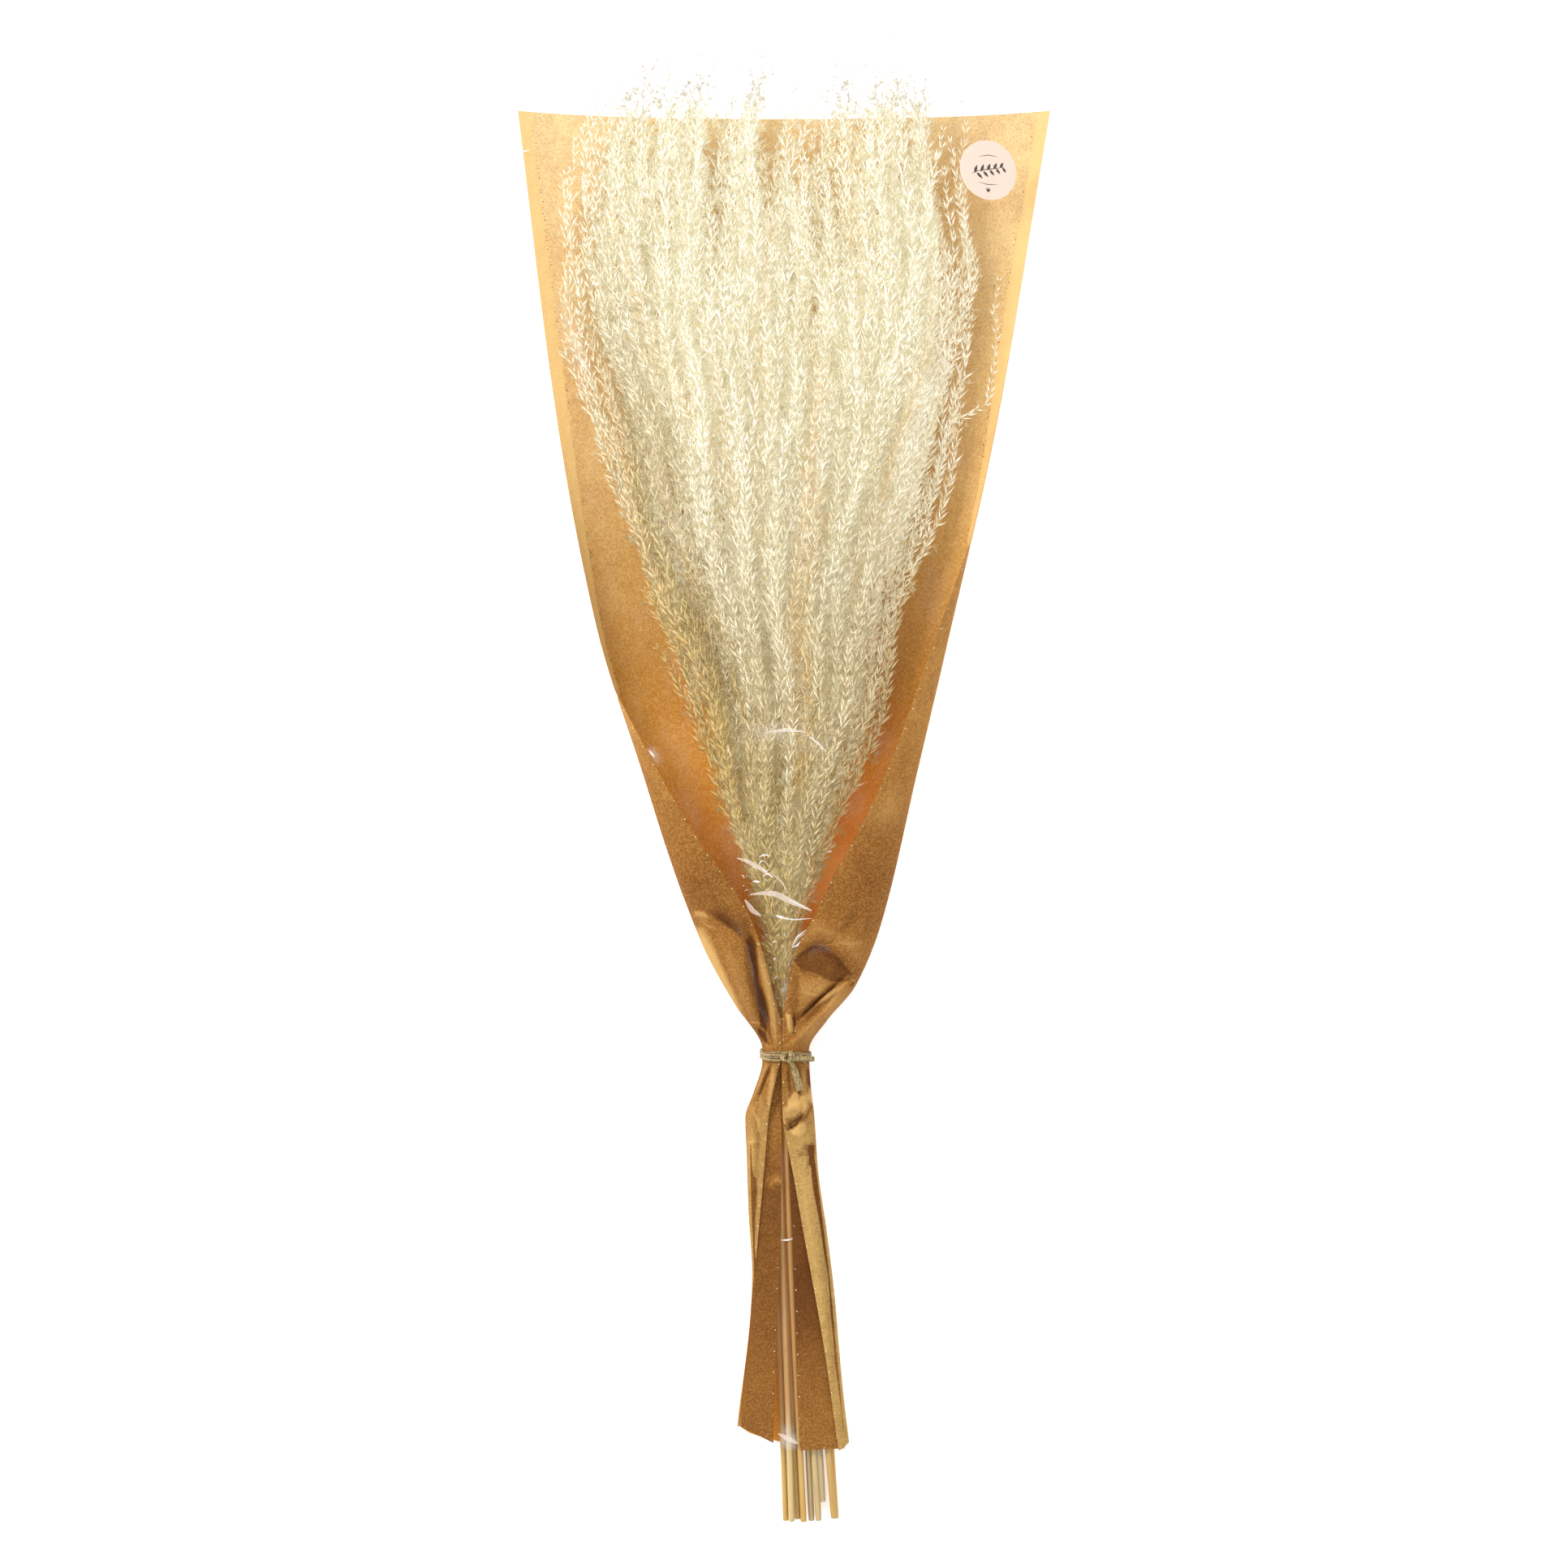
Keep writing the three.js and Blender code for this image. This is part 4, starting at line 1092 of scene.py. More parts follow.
# Broad pale bands on the film's folds: partly the creased film's own haze, partly painted sheen.
fold_lines = [
    ([(-17.2, 83.6), (-10.5, 84.3), (-4.9, 84.1), (0.7, 81.5), (6.3, 78.7), (14.2, 75.3)], 3.0),
    ([(-24, 102.3), (-18.4, 100.6), (-11.6, 96.7), (-5.5, 92.2)], 2.2),
    ([(-20, 81), (-16.1, 75.3), (-11.6, 72.5)], 2.6),
    ([(-4, 72.8), (-1.6, 72), (2, 71)], 1.6), ([(-7, 95), (-1, 90), (2, 84)], 0.8),
    ([(4.6, 57), (7, 61.6), (10.6, 63.6)], 1.3),
    ([(-16, 90.4), (-14, 90.2), (-12, 89.8)], 1.3), ([(-10, 166), (2, 168), (12, 166)], 1.2),
    ([(12, 165), (18, 160), (20, 156)], 1.0),
    ([(-70, 158), (-66, 154)], 1.4), ([(-3, -195), (2, -197.5), (7, -200)], 2.6),
]
# Thin white strokes on the film, painted glints where its wrinkles catch the lamp.
glint_lines = [
    ([(-3.8, 72.5), (-0.4, 71.4), (5.2, 70.6), (14.2, 71.4)], 0.5),
    ([(-4.4, 72.8), (-2.4, 72.2), (0.4, 71.2)], 1.1),
    ([(-12.7, 102.8), (-10, 104), (-7.2, 103.4)], 0.6), ([(-11.6, 97), (-9, 95.4), (-8, 96.4)], 0.5),
    ([(-16, 90.2), (-13.6, 90.4), (-12.2, 90)], 0.7), ([(0.7, 81.8), (6.3, 79), (14.2, 75.6)], 0.4),
    ([(-13, 98.6), (-11.4, 101), (-9.4, 100.2)], 0.4), ([(-10.8, 93), (-8, 94.4), (-5.6, 92.4)], 0.45),
    ([(4.0, 56.2), (7, 57.6), (10.6, 61.4)], 0.9), ([(4.0, 56.4), (6.4, 61.6), (11.8, 65.8)], 0.6),
    ([(11.8, 65.8), (11.6, 63), (10.4, 61)], 0.6), ([(-5.6, 59), (-4.2, 59.6)], 0.7),
    ([(-5.4, 50), (-4.0, 51)], 0.6),
    ([(-4.8, 40), (-3.6, 41.6)], 0.6), ([(-69, 157), (-66, 153.5)], 0.5), ([(-72, 156), (-68, 155)], 0.4),
    ([(-136, 466), (-131, 467)], 0.5), ([(18, 159), (21, 157)], 0.4),
    ([(-4, 166), (2, 167), (9, 166.4)], 0.3),
    ([(12, 164), (17, 161), (20, 158)], 0.35), ([(-29, 160), (-27, 154)], 0.35),
]
# Small painted glints scattered over the film with a fixed seed.
rng = np.random.default_rng(5)
for _ in range(46):
    y = rng.uniform(12, 104) if rng.uniform() < 0.7 else rng.uniform(104, 210)
    x = rng.uniform(0.12, 0.88) * (free_edge[1](y) - free_edge[-1](y)) + free_edge[-1](y)
    heading, long = rng.uniform(0, math.pi), rng.uniform(1.0, 2.6)
    bow = rng.uniform(-0.5, 0.5)
    dx, dy = math.cos(heading) * long / 2, math.sin(heading) * long / 2
    glint_lines.append(([(x - dx, y - dy), (x - dy * bow, y + dx * bow), (x + dx, y + dy)],
                        rng.uniform(0.16, 0.34)))


def stroke(points, width, lift, centre=(0.0, 0.0), thick=0.06):
    """A thin flat stroke on the film that narrows to its ends."""
    line = evenly([(centre[0] + x, centre[1] + y, 0) for x, y in points], 16)
    run = unit(np.gradient(line, axis=0))
    beside = np.stack([-run[:, 1], run[:, 0], run[:, 2]], axis=1)
    taper = (0.2 + 0.8 * np.sin(np.linspace(0, math.pi, 16)))[:, None, None]
    rows = line[:, None] + beside[:, None] * np.linspace(-width / 2, width / 2, 3)[None, :, None] * taper
    return closed_sheet(over_film(rows[..., 0], rows[..., 1], lift)[:, ::-1], thick)[:2]


# The glints are painted highlights: near-opaque white strokes.
shine = Finish("film fold", 0.15, Alpha=0.8)
shine.paint(shine.mix(shine.grain(3.0), (0.95, 0.95, 0.93), (1.0, 1.0, 1.0)))
piece("film_glints", *joined([stroke(line, width, 2.0) for line, width in glint_lines]), [shine],
      "clear_film")
# The fold bands: the creased film's own haze with painted sheen.
haze_and_sheen = Finish("film haze", 0.3, Alpha=0.4)
haze_and_sheen.paint(haze_and_sheen.mix(haze_and_sheen.grain(2.0), shade(226, 206, 190), shade(250, 238, 226)))
piece("film_folds", *joined([stroke(line, width, 1.7) for line, width in fold_lines]), [haze_and_sheen], "clear_film")

INK_LIFT = 0.42
label_at = (LABEL_X, LABEL_Y)
sprig = [stroke([(-9, -2.6), (-4, -0.4), (1, 0.6), (9, 2.6)], 0.42, INK_LIFT, label_at),
         stroke([(-5.4, -6.6), (0, -7.4), (5.4, -6.6)], 0.34, INK_LIFT, label_at),
         stroke([(-5, 6.4), (0, 7.6), (5, 7.2)], 0.34, INK_LIFT, label_at)]
for k, place in enumerate(np.linspace(-7.2, 6.4, 5)):
    size = 4.4 - 0.3 * k
    sprig.append(leaf(place, 0.3 * place, size, 1.5, 74 - 3 * k))
    sprig.append(leaf(place + 1.2, 0.3 * place + 0.2, size * 0.92, 1.4, -42 - 2 * k))
for angle in (62, 90, 118):
    sprig.append(leaf(0, -11.2, 2.4, 0.7, angle))
ink = Finish("label ink", 0.55)
ink.paint(ink.mix(ink.grain(2.0), shade(52, 46, 42), shade(78, 68, 60)))
motif = piece("label_sprig", *joined(sprig), [ink], "label")

# %% [markdown]
# ## Stems
#
# A miscanthus culm is a smooth straw with a joint every hand's width, cut flat. Each is a strand along its
# line, a little wider at its joints, and carries marks for its own tint, its joints, its cut rim, and painted
# shade with a faint painted glow where it runs inside the skirt, so one finish serves all ten. Above the tie
# it thins into the axis that the plume's branches leave.

# %% Stem lines and finish
# (lean in degrees, x of the cut end, plume from, plume to)
LOWER = [(-12.2, 0.6, 165, 455), (-7.6, 6.8, 90, 480), (-3.1, 9.9, 150, 514),
         (1.4, 14.6, 60, 440), (5.9, 18.2, 130, 514), (10.3, 27.0, 150, 445)]
UPPER = [(-8.8, 3.7, 120, 470), (-4.6, 9.8, 55, 500), (0.4, 17.8, 45, 430), (5.4, 26.2, 90, 490)]
CUTS = [-241.0, -240.2, -240.6, -241.0, -239.6, -239.8, -240.9, -241.0, -240.4, -239.2]
TINTS = [0.15, 0.45, 0.75, 0.9, 0.05, 0.3, 0.5, 0.2, 0.65, 0.1]
lower_height = through([(CUT_END, 2.7), (-110, 3), (0, 9.2), (300, 14), (514, 15)])
row_gap = through([(CUT_END, 3.4), (0, 3.4), (100, 9), (350, 23.2), (430, 22.5), (514, 14)])


def stem_x(number, y):
    row, place = (LOWER, number) if number < 6 else (UPPER, number - 6)
    neck = 0.9 + (place - (len(row) - 1) / 2) * 3.4
    lean, cut_x = row[place][:2]
    return np.where(y > 0, neck + y * math.tan(math.radians(lean)), neck + (cut_x - neck) * y / CUT_END)


def stem_z(number, y):
    return lower_height(y) + (row_gap(y) if number >= 6 else 0.0)


fan_left = through([(20, -4), (51, -8), (80, -14), (113, -26), (159, -40), (197, -55), (226, -72), (272, -90),
                    (343, -104), (376, -113), (459, -113), (514, -98)])
fan_right = through([(20, 3), (63, 8), (101, 21), (151, 42), (176, 53), (222, 60), (292, 83), (343, 90),
                     (405, 96), (447, 91), (514, 92)])


def culm_x(number, y):
    """The stem's line, kept within the fan of plumes above the tie."""
    x = stem_x(number, y)
    held = np.clip(x, fan_left(y) + 3, fan_right(y) - 3)
    return x + (held - x) * step(y, 12, 40)


# The straw glows a faint orange inside the skirt: a painted glow, as of light through the paper.
straw = Finish("dry straw", 0.45, **{"Specular_IOR_Level": 0.35, "Emission_Strength": 0.14})
straw.feed(straw.shader.inputs["Emission Color"], straw.mix(straw.mark("deep"), (0.0, 0.0, 0.0),
    (0.7, 0.32, 0.08)))
tint = straw.mark("tint")
base = straw.node("ShaderNodeValToRGB", {"stops": [
    (0.0, shade(180, 146, 80)), (0.35, shade(210, 160, 76)), (0.55, shade(204, 186, 136)),
    (0.75, shade(186, 154, 106)), (1.0, shade(208, 190, 152))]}, {"Fac": tint})
fibres = straw.grain(0.5, 2.0, (1.0, 0.03, 1.0))
base = straw.mix(fibres.above(0.5, 0.2) * 0.35, base, shade(162, 130, 72))
base = straw.mix(straw.grain(34.0).above(0.55, 0.2) * 0.25, base, shade(222, 202, 142))
base = straw.mix(straw.mark("joint") * 0.6, base, shade(122, 92, 48))
# Painted shade: the stems inside the skirt are darker and browner. The cut mark darkens the cut rim, and the
# bottom of the short hollow most, as painted shade.
base = straw.mix(straw.mark("deep") * 0.75, base, shade(156, 110, 60))
straw.paint(straw.mix(straw.mark("cut") * 0.8, base, shade(96, 66, 34)))
straw.bump(fibres, 0.08)

for number in range(10):
    row = LOWER + UPPER
    _, _, start, end = row[number]
    top = start + 0.3 * (end - start)
    rng = np.random.default_rng(40 + number)
    ys = np.concatenate([[CUTS[number], CUTS[number] + 0.25], np.linspace(CUTS[number] + 1.2, top, 150)])
    joints = CUTS[number] + rng.uniform(35, 95) + np.arange(4) * rng.uniform(118, 150)
    near = np.max([np.clip(1 - np.abs(ys - j) / 2.6, 0, 1) for j in joints], axis=0)
    bend = 0.35 * np.sin(ys / 47.0 + number)
    path = np.stack([culm_x(number, ys) + bend * step(-ys, 20, 120), ys, stem_z(number, ys)], axis=1)
    wide = 3.05 * (1 + 0.08 * near) * np.where(ys > 20, 1 - 0.72 * step(ys, 20, top), 1)
    wide[0] *= 0.93
    sides = 12
    points, faces = strand(path, wide, wide, sides)
    faces = [f for f in faces if len(f) == 4]
    inner_ring = path[0] + (points[:sides] - path[0]) * 0.62
    deep_ring = inner_ring + np.array([0, 2.2, 0])
    first = len(points)
    points = np.concatenate([points, inner_ring, deep_ring, points[len(points) - sides:].mean(axis=0)[None],
                             deep_ring.mean(axis=0)[None]])
    for k in range(sides):
        n = (k + 1) % sides
        faces.append((k, n, first + n, first + k))
        faces.append((first + k, first + n, first + sides + n, first + sides + k))
        faces.append((first + sides + k, first + sides + n, first + 2 * sides + 1))
        faces.append((first - sides + n, first - sides + k, first + 2 * sides))
    # Cut mark: the rim dark, the inner ring less, the bottom of the hollow darkest as painted shade.
    rim = np.zeros(len(points))
    rim[:sides] = 0.6
    rim[first:first + sides] = 0.35
    rim[first + sides:] = 1.0
    rim[first + 2 * sides] = 0.0
    ring_of = np.repeat(near, sides)
    extra = len(points) - len(ring_of)
    name = f"{number + 1:02d}"
    piece(f"culm_{name}", points, faces, [straw], "dry_stem", (f"stem_{name}",), smooth=45.0, marks={
        "tint": np.full(len(points), TINTS[number]),
        "joint": np.concatenate([ring_of, np.zeros(extra)]),
        "deep": np.concatenate([np.repeat(step(-ys, 5, 40) * (1 - step(-ys, 175, 200)), sides),
                                np.zeros(extra)]),
        "cut": rim})

# %% [markdown]
# One stem keeps its pale leaf sheath: an open, curled strip round the straw that ends a little short.

# %% Leaf sheath
sheath_y = np.linspace(-231, -120, 40)[:, None]
sheath_a = np.linspace(-0.78 * math.pi, 0.72 * math.pi, 20)[None, :]
sheath_r = 2.15 + 0.75 * (1 - step(sheath_y, -231, -160)) + 0.1 * np.sin(sheath_y / 9)
sheath = np.stack([stem_x(4, sheath_y) + 0.9 + sheath_r * np.sin(sheath_a), sheath_y + 0 * sheath_a,
                   stem_z(4, sheath_y) + 0.3 + sheath_r * np.cos(sheath_a) * 0.9], axis=2)
sheath_points, sheath_faces, _ = closed_sheet(sheath, 0.14)
piece("leaf_sheath", sheath_points, sheath_faces, [straw], "dry_stem",
      marks={"tint": np.full(len(sheath_points), 1.0)})

# %% [markdown]
# ## Plumes
#
# A plume is a loose fan of long thin branches, and each branch carries a pair of spikelets every four
# millimetres, each wrapped in silky hairs. Drawing them by hand is hopeless and a hair system does not
# survive the export, so the branches are laid out as lines and Geometry Nodes put one small V of two
# spikelets on each point, facing along the branch and rolled at random.

# %% The spikelet pair


def needle(base, tip, width, marks_of, mark):
    """A thin closed spike with four faces."""
    base, tip = np.array(base, float), np.array(tip, float)
    run = unit(tip - base)
    across = unit(np.cross(run, [0.3, 1.0, 0.2]))
    over = np.cross(run, across)
    ring = [base + width / 2 * (math.cos(a) * across + math.sin(a) * over) for a in (0, 2.1, 4.2)]
    marks_of.extend([mark] * 4)
    return np.array([*ring, tip]), [(0, 2, 1), (0, 1, 3), (1, 2, 3), (2, 0, 3)]


def grain_husk(base, tip, width, marks_of, mark):
    """A slim closed husk with six faces, widest at a third of its length."""
    base, tip = np.array(base, float), np.array(tip, float)
    run = unit(tip - base)
    across = unit(np.cross(run, [0.3, 1.0, 0.2]))
    over = np.cross(run, across)
    middle = base + (tip - base) * 0.36
    ring = [middle + width / 2 * (math.cos(a) * across + math.sin(a) * over) for a in (0, 2.1, 4.2)]
    marks_of.extend([mark] * 5)
    return np.array([base, *ring, tip]), [(0, 2, 1), (0, 3, 2), (0, 1, 3), (1, 2, 4), (2, 3, 4), (3, 1, 4)]


def spikelet_pair(seed):
    """Two husks in a V, each with two stiff hairs beside it."""
    rng = np.random.default_rng(seed)
    shapes = []
    husk_mark = []
    for side in (-1, 1):
        tilt = math.radians(rng.uniform(18, 42)) * side
        heading = np.array([math.sin(tilt), rng.uniform(-0.12, 0.12), math.cos(tilt)])
        foot = 0.4 * heading
        length = rng.uniform(4.8, 6.4)
        shapes.append(grain_husk(foot, foot + heading * length, 0.76, husk_mark, 1.0))
        for _ in range(2):
            spread = heading + rng.normal(0, 0.3, 3)
            shapes.append(needle(foot, foot + unit(spread) * rng.uniform(4.5, 7.0), 0.28, husk_mark, 0.5))
    points, faces = joined(shapes)
    return hidden(f"pair_{seed}", points, faces, {"husk": husk_mark})


def tuft(seed):
    """Seven loose silky hairs that point roughly one way."""
    rng = np.random.default_rng(seed)
    shapes = []
    husk_mark = []
    for _ in range(7):
        heading = unit(np.array([*rng.normal(0, 0.6, 2), rng.uniform(0.5, 1.1)]))
        foot = rng.normal(0, 0.7, 3)
        shapes.append(needle(foot, foot + heading * rng.uniform(2.6, 5.0), 0.42, husk_mark,
                             rng.uniform(0, 0.35)))
    points, faces = joined(shapes)
    return hidden(f"tuft_{seed}", points, faces, {"husk": husk_mark})


pairs = [spikelet_pair(seed) for seed in (1, 2, 3)]
tufts = [tuft(seed) for seed in (4, 5, 6)]
print("one pair has", len(pairs[0].data.polygons), "faces and one tuft", len(tufts[0].data.polygons))

# %% Node group: branches with spikelet pairs
graph, given = tree_with("spikelets along branches", [
    ("Pitch", "Float"), ("Tuft Pitch", "Float"), ("Smallest", "Float"), ("Largest", "Float"),
    ("Roll", "Float"),
    ("Stalk", "Float"), ("Scatter", "Float"), ("Tuft Scatter", "Float"), ("Drop", "Float"), ("Seed", "Int"),
    ("Pair A", "Object"), ("Pair B", "Object"), ("Pair C", "Object"),
    ("Tuft A", "Object"), ("Tuft B", "Object"), ("Tuft C", "Object"), ("Finish", "Material")])
curve = graph.node("GeometryNodeMeshToCurve", {}, {0: given["Geometry"]})
heading = graph.node("GeometryNodeInputTangent")
beside = graph.node("ShaderNodeVectorMath", {"operation": "CROSS_PRODUCT"}, {0: heading, 1: (0.0, 0.0, 1.0)})
aimed = graph.node("FunctionNodeAxesToRotation", {"primary_axis": "Z", "secondary_axis": "X"},
                   {0: heading, 1: beside})


def along(key):
    return graph.node("GeometryNodeInputNamedAttribute", {"data_type": "FLOAT"}, {"Name": key})


def planted(first, pitch, scatter, drop, roll, labels, keep=True):
    """Shapes on points spaced along the branches, each moved, turned and scaled at random."""
    cut = graph.node("GeometryNodeResampleCurve", {"mode": "LENGTH"}, {"Curve": curve, "Length": pitch})
    shift = [random_between(graph, -1.0, 1.0, given["Seed"] + (first + k)) * scatter for k in range(3)]
    offset = graph.node("ShaderNodeCombineXYZ", {}, {0: shift[0], 1: shift[1], 2: shift[2] * 0.3 - drop})
    loose = graph.node("GeometryNodeSetPosition", {}, {0: cut, "Offset": offset})
    turn = random_between(graph, roll * -1.0, roll, given["Seed"] + (first + 3.0))
    spun = graph.node("FunctionNodeAxisAngleToRotation", {}, {"Axis": (0.0, 0.0, 1.0), "Angle": turn})
    turned = graph.node("FunctionNodeRotateRotation", {"rotation_space": "LOCAL"}, {0: aimed, 1: spun})
    size = random_between(graph, given["Smallest"], given["Largest"],
                          given["Seed"] + (first + 4.0)) * along("fade")
    kinds = graph.tree.nodes.new("GeometryNodeJoinGeometry")
    for label in labels:
        shape = graph.node("GeometryNodeObjectInfo", {}, {"Object": given[label], "As Instance": True},
                           "Geometry")
        graph.tree.links.new(shape.socket, kinds.inputs[0])
    which = random_between(graph, 0, 2, given["Seed"] + (first + 5.0), whole=True)
    hung = graph.node("GeometryNodeInstanceOnPoints", {}, {
        "Points": loose, "Selection": keep, "Instance": Value(graph, kinds.outputs[0]), "Pick Instance": True,
        "Instance Index": which, "Rotation": turned, "Scale": size})
    return cut, hung


cut, hung = planted(10.0, given["Pitch"], given["Scatter"], 0.0, given["Roll"],
                    ("Pair C", "Pair B", "Pair A"))
dense = random_between(graph, 0.0, 1.0, given["Seed"] + 31.0)
covered = graph.node("FunctionNodeCompare", {"data_type": "FLOAT", "operation": "GREATER_THAN"},
                     {0: along("fluff"), 1: dense})
_, silky = planted(40.0, given["Tuft Pitch"], given["Tuft Scatter"], given["Drop"], given["Roll"] * 2.0,
                   ("Tuft C", "Tuft B", "Tuft A"), covered)
profile = graph.node("GeometryNodeCurvePrimitiveCircle", {"mode": "RADIUS"},
                     {"Resolution": 3, "Radius": given["Stalk"]})
stalks = graph.node("GeometryNodeCurveToMesh", {}, {"Curve": cut, "Profile Curve": profile,
                                                    "Fill Caps": True})
together = graph.tree.nodes.new("GeometryNodeJoinGeometry")
for part in (stalks, hung, silky):
    graph.tree.links.new(part.socket, together.inputs[0])
plume_tree = finish_tree(graph, Value(graph, together.outputs[0]), given["Finish"])

# %% [markdown]
# ## Laying out the branches
#
# Each plume's branches leave its axis at different heights and swing out to their own share of the fan.
# The fan's outer limits are two measured curves, and its floor and ceiling are the paper below and the film
# above, so that no branch leaves the sleeve. Branches lower in the V are older and more olive, and part of
# that olive is painted shade; branches at the left of the fan get more of it as painted shade.

# %% Branch lines and plume pieces
FAN_LOOK = 300.0
PER_PLUME = 46
BRANCH_POINTS = 60


def ceiling(x, y):
    return film_height(x, min(y, FILM_TOP - 1)) - 3.2


def ground(x, y):
    side = -1 if x < 0 else 1
    reach = side * outline[side](min(y, MOUTH))
    turn = min(turn_in(min(y, MOUTH)), reach - 2)
    inside_turn = np.clip((abs(x) - (reach - turn)) / turn, 0, 0.98)
    rise = wrap_depth(min(y, 188.0)) / 2
    return 3.4 + 3.2 * float(step(y, 60, 160)) + back_lift(y) + rise * (1
        - math.sqrt(1 - inside_turn ** 2)) * (1 - 0.45 * step(y, 200, 480))


def branch(number, rng):
    """One branch: its points, and how its size fades and its tint runs."""
    _, _, start, end = (LOWER + UPPER)[number]
    x_look = float(stem_x(number, FAN_LOOK))
    left, right = fan_left(FAN_LOOK), fan_right(FAN_LOOK)
    share = (x_look - left) / (right - left)
    reach = 0.2 if number in (0, 5, 6, 9) else 0.15
    target = np.clip(share + rng.uniform(-reach, reach), 0.0, 1.0)
    drift = rng.normal(0, 0.06)
    end = min(end + 48, 517)
    y0 = start - 22 + rng.uniform(0, 0.74) ** 1.1 * (end - start)
    y1 = min(y0 + rng.uniform(120, 250), end - 1 - 50 * rng.uniform(0, 1) ** 2)
    if number in (3, 7, 8) and rng.uniform() < 0.2:
        y0 = rng.uniform(4, 36)
        y1 = y0 + rng.uniform(90, 170)
    if number in (0, 5, 1, 9, 6) and rng.uniform() < 0.2:
        y0 = rng.uniform(58, 110)
        y1 = y0 + rng.uniform(110, 190)
    if number in (5, 9) and rng.uniform() < 0.4:
        target = rng.uniform(0.8, 0.99)
        y0 = rng.uniform(180, 320)
        y1 = min(y0 + rng.uniform(120, 240), 500)
    x_end = fan_left(y1) + (fan_right(y1) - fan_left(y1)) * target
    if -14 < x_end < 24 and rng.uniform() < 0.6:
        y1 = min(y1, rng.uniform(430, 462))
    level = rng.uniform(0.03, 0.62) if number < 6 else rng.uniform(0.42, 0.98)
    phase, sway = rng.uniform(0, 6.28), rng.uniform(0.8, 3.4)
    curl = rng.normal(0, 6.0)
    swing = rng.uniform(14, 34)
    wave = rng.uniform(1.0, 3.6)
    ys = np.linspace(y0, y1, BRANCH_POINTS)
    out = 1 - np.exp(-(ys - y0) / rng.uniform(45, 80))
    t = (ys - y0) / (y1 - y0)
    x = np.empty(len(ys))
    z = np.empty(len(ys))
    for k, y in enumerate(ys):
        low, high = fan_left(y), fan_right(y)
        fan_x = low + (high - low) * np.clip(target + drift * t[k], 0, 1)
        x[k] = (1 - out[k]) * culm_x(number, y) + out[k] * fan_x
        x[k] += sway * math.sin(y / swing + phase) * out[k] + curl * t[k] ** 3
        x[k] += wave * float(step(y, 455, 500)) * math.sin(y / 3.4 + phase)
        x[k] = min(max(x[k], low - 2), high + 2)
        floor_z, roof_z = ground(x[k], y), ceiling(x[k], y)
        roof_z = max(roof_z, floor_z + 0.5)
        z[k] = (1 - out[k]) * stem_z(number, y) + out[k] * (floor_z + level * (roof_z - floor_z))
        z[k] = min(max(z[k], floor_z), roof_z)
    fade = 0.72 + 0.38 * np.minimum(1, t / 0.25) - 0.45 * np.maximum(0, (t - 0.72) / 0.28) ** 1.5
    # Olive lower down, partly age and partly painted shade, with more painted shade on branches at the left
    # of the fan.
    age = np.clip(1.2 - ys / 290 + 0.08 * (1 - step(ys, 180, 280)) + rng.normal(0, 0.16) + 0.5
                  * step(0.26 - target, 0, 0.2), 0, 1)
    amber = 1.0 if rng.uniform() < 0.08 else 0.0
    rim = np.minimum(30.0, 0.2 * (fan_right(ys) - fan_left(ys)))
    outer = step(np.minimum(x - fan_left(ys), fan_right(ys) - x) / rim, 0.2, 1.0)
    tip = step(ys, 476, 494)
    fade = fade * (1 - 0.28 * tip)
    marks = {"fade": fade, "age": age, "tip": tip, "amber": np.full(len(ys), amber),
             "fluff": 0.1 + 0.9 * outer}
    return np.stack([x, ys, z], axis=1), marks


# The plumes glow with an emission in their own colour: a painted glow for the light that white hairs pass
# between them, which also flattens their shade.
silk = Finish("bleached silk", 0.6, **{"Emission_Strength": 0.46})
husk = silk.mark("husk")
age = silk.mark("age")
amber = silk.mark("amber")
hair_colour = silk.mix(age, shade(202, 194, 161), shade(126, 103, 49))
husk_colour = silk.mix(age, shade(246, 244, 231), shade(198, 175, 112))
body = silk.mix(husk, hair_colour, husk_colour)
body = silk.mix(silk.mark("tip") * 0.75, body, shade(150, 144, 136))
body = silk.mix(silk.grain(18.0).above(0.5, 0.14) * 0.3, body, shade(198, 186, 142))
body = silk.mix(amber * 0.25, body, shade(212, 160, 84))
silk.paint(silk.mix(silk.grain(1.3).above(0.74, 0.02) * husk * 0.7, body, shade(120, 96, 60)))
silk.feed(silk.shader.inputs["Emission Color"], body)
silk.bump(silk.grain(0.4, 1.0, (1.0, 0.2, 1.0)), 0.04)

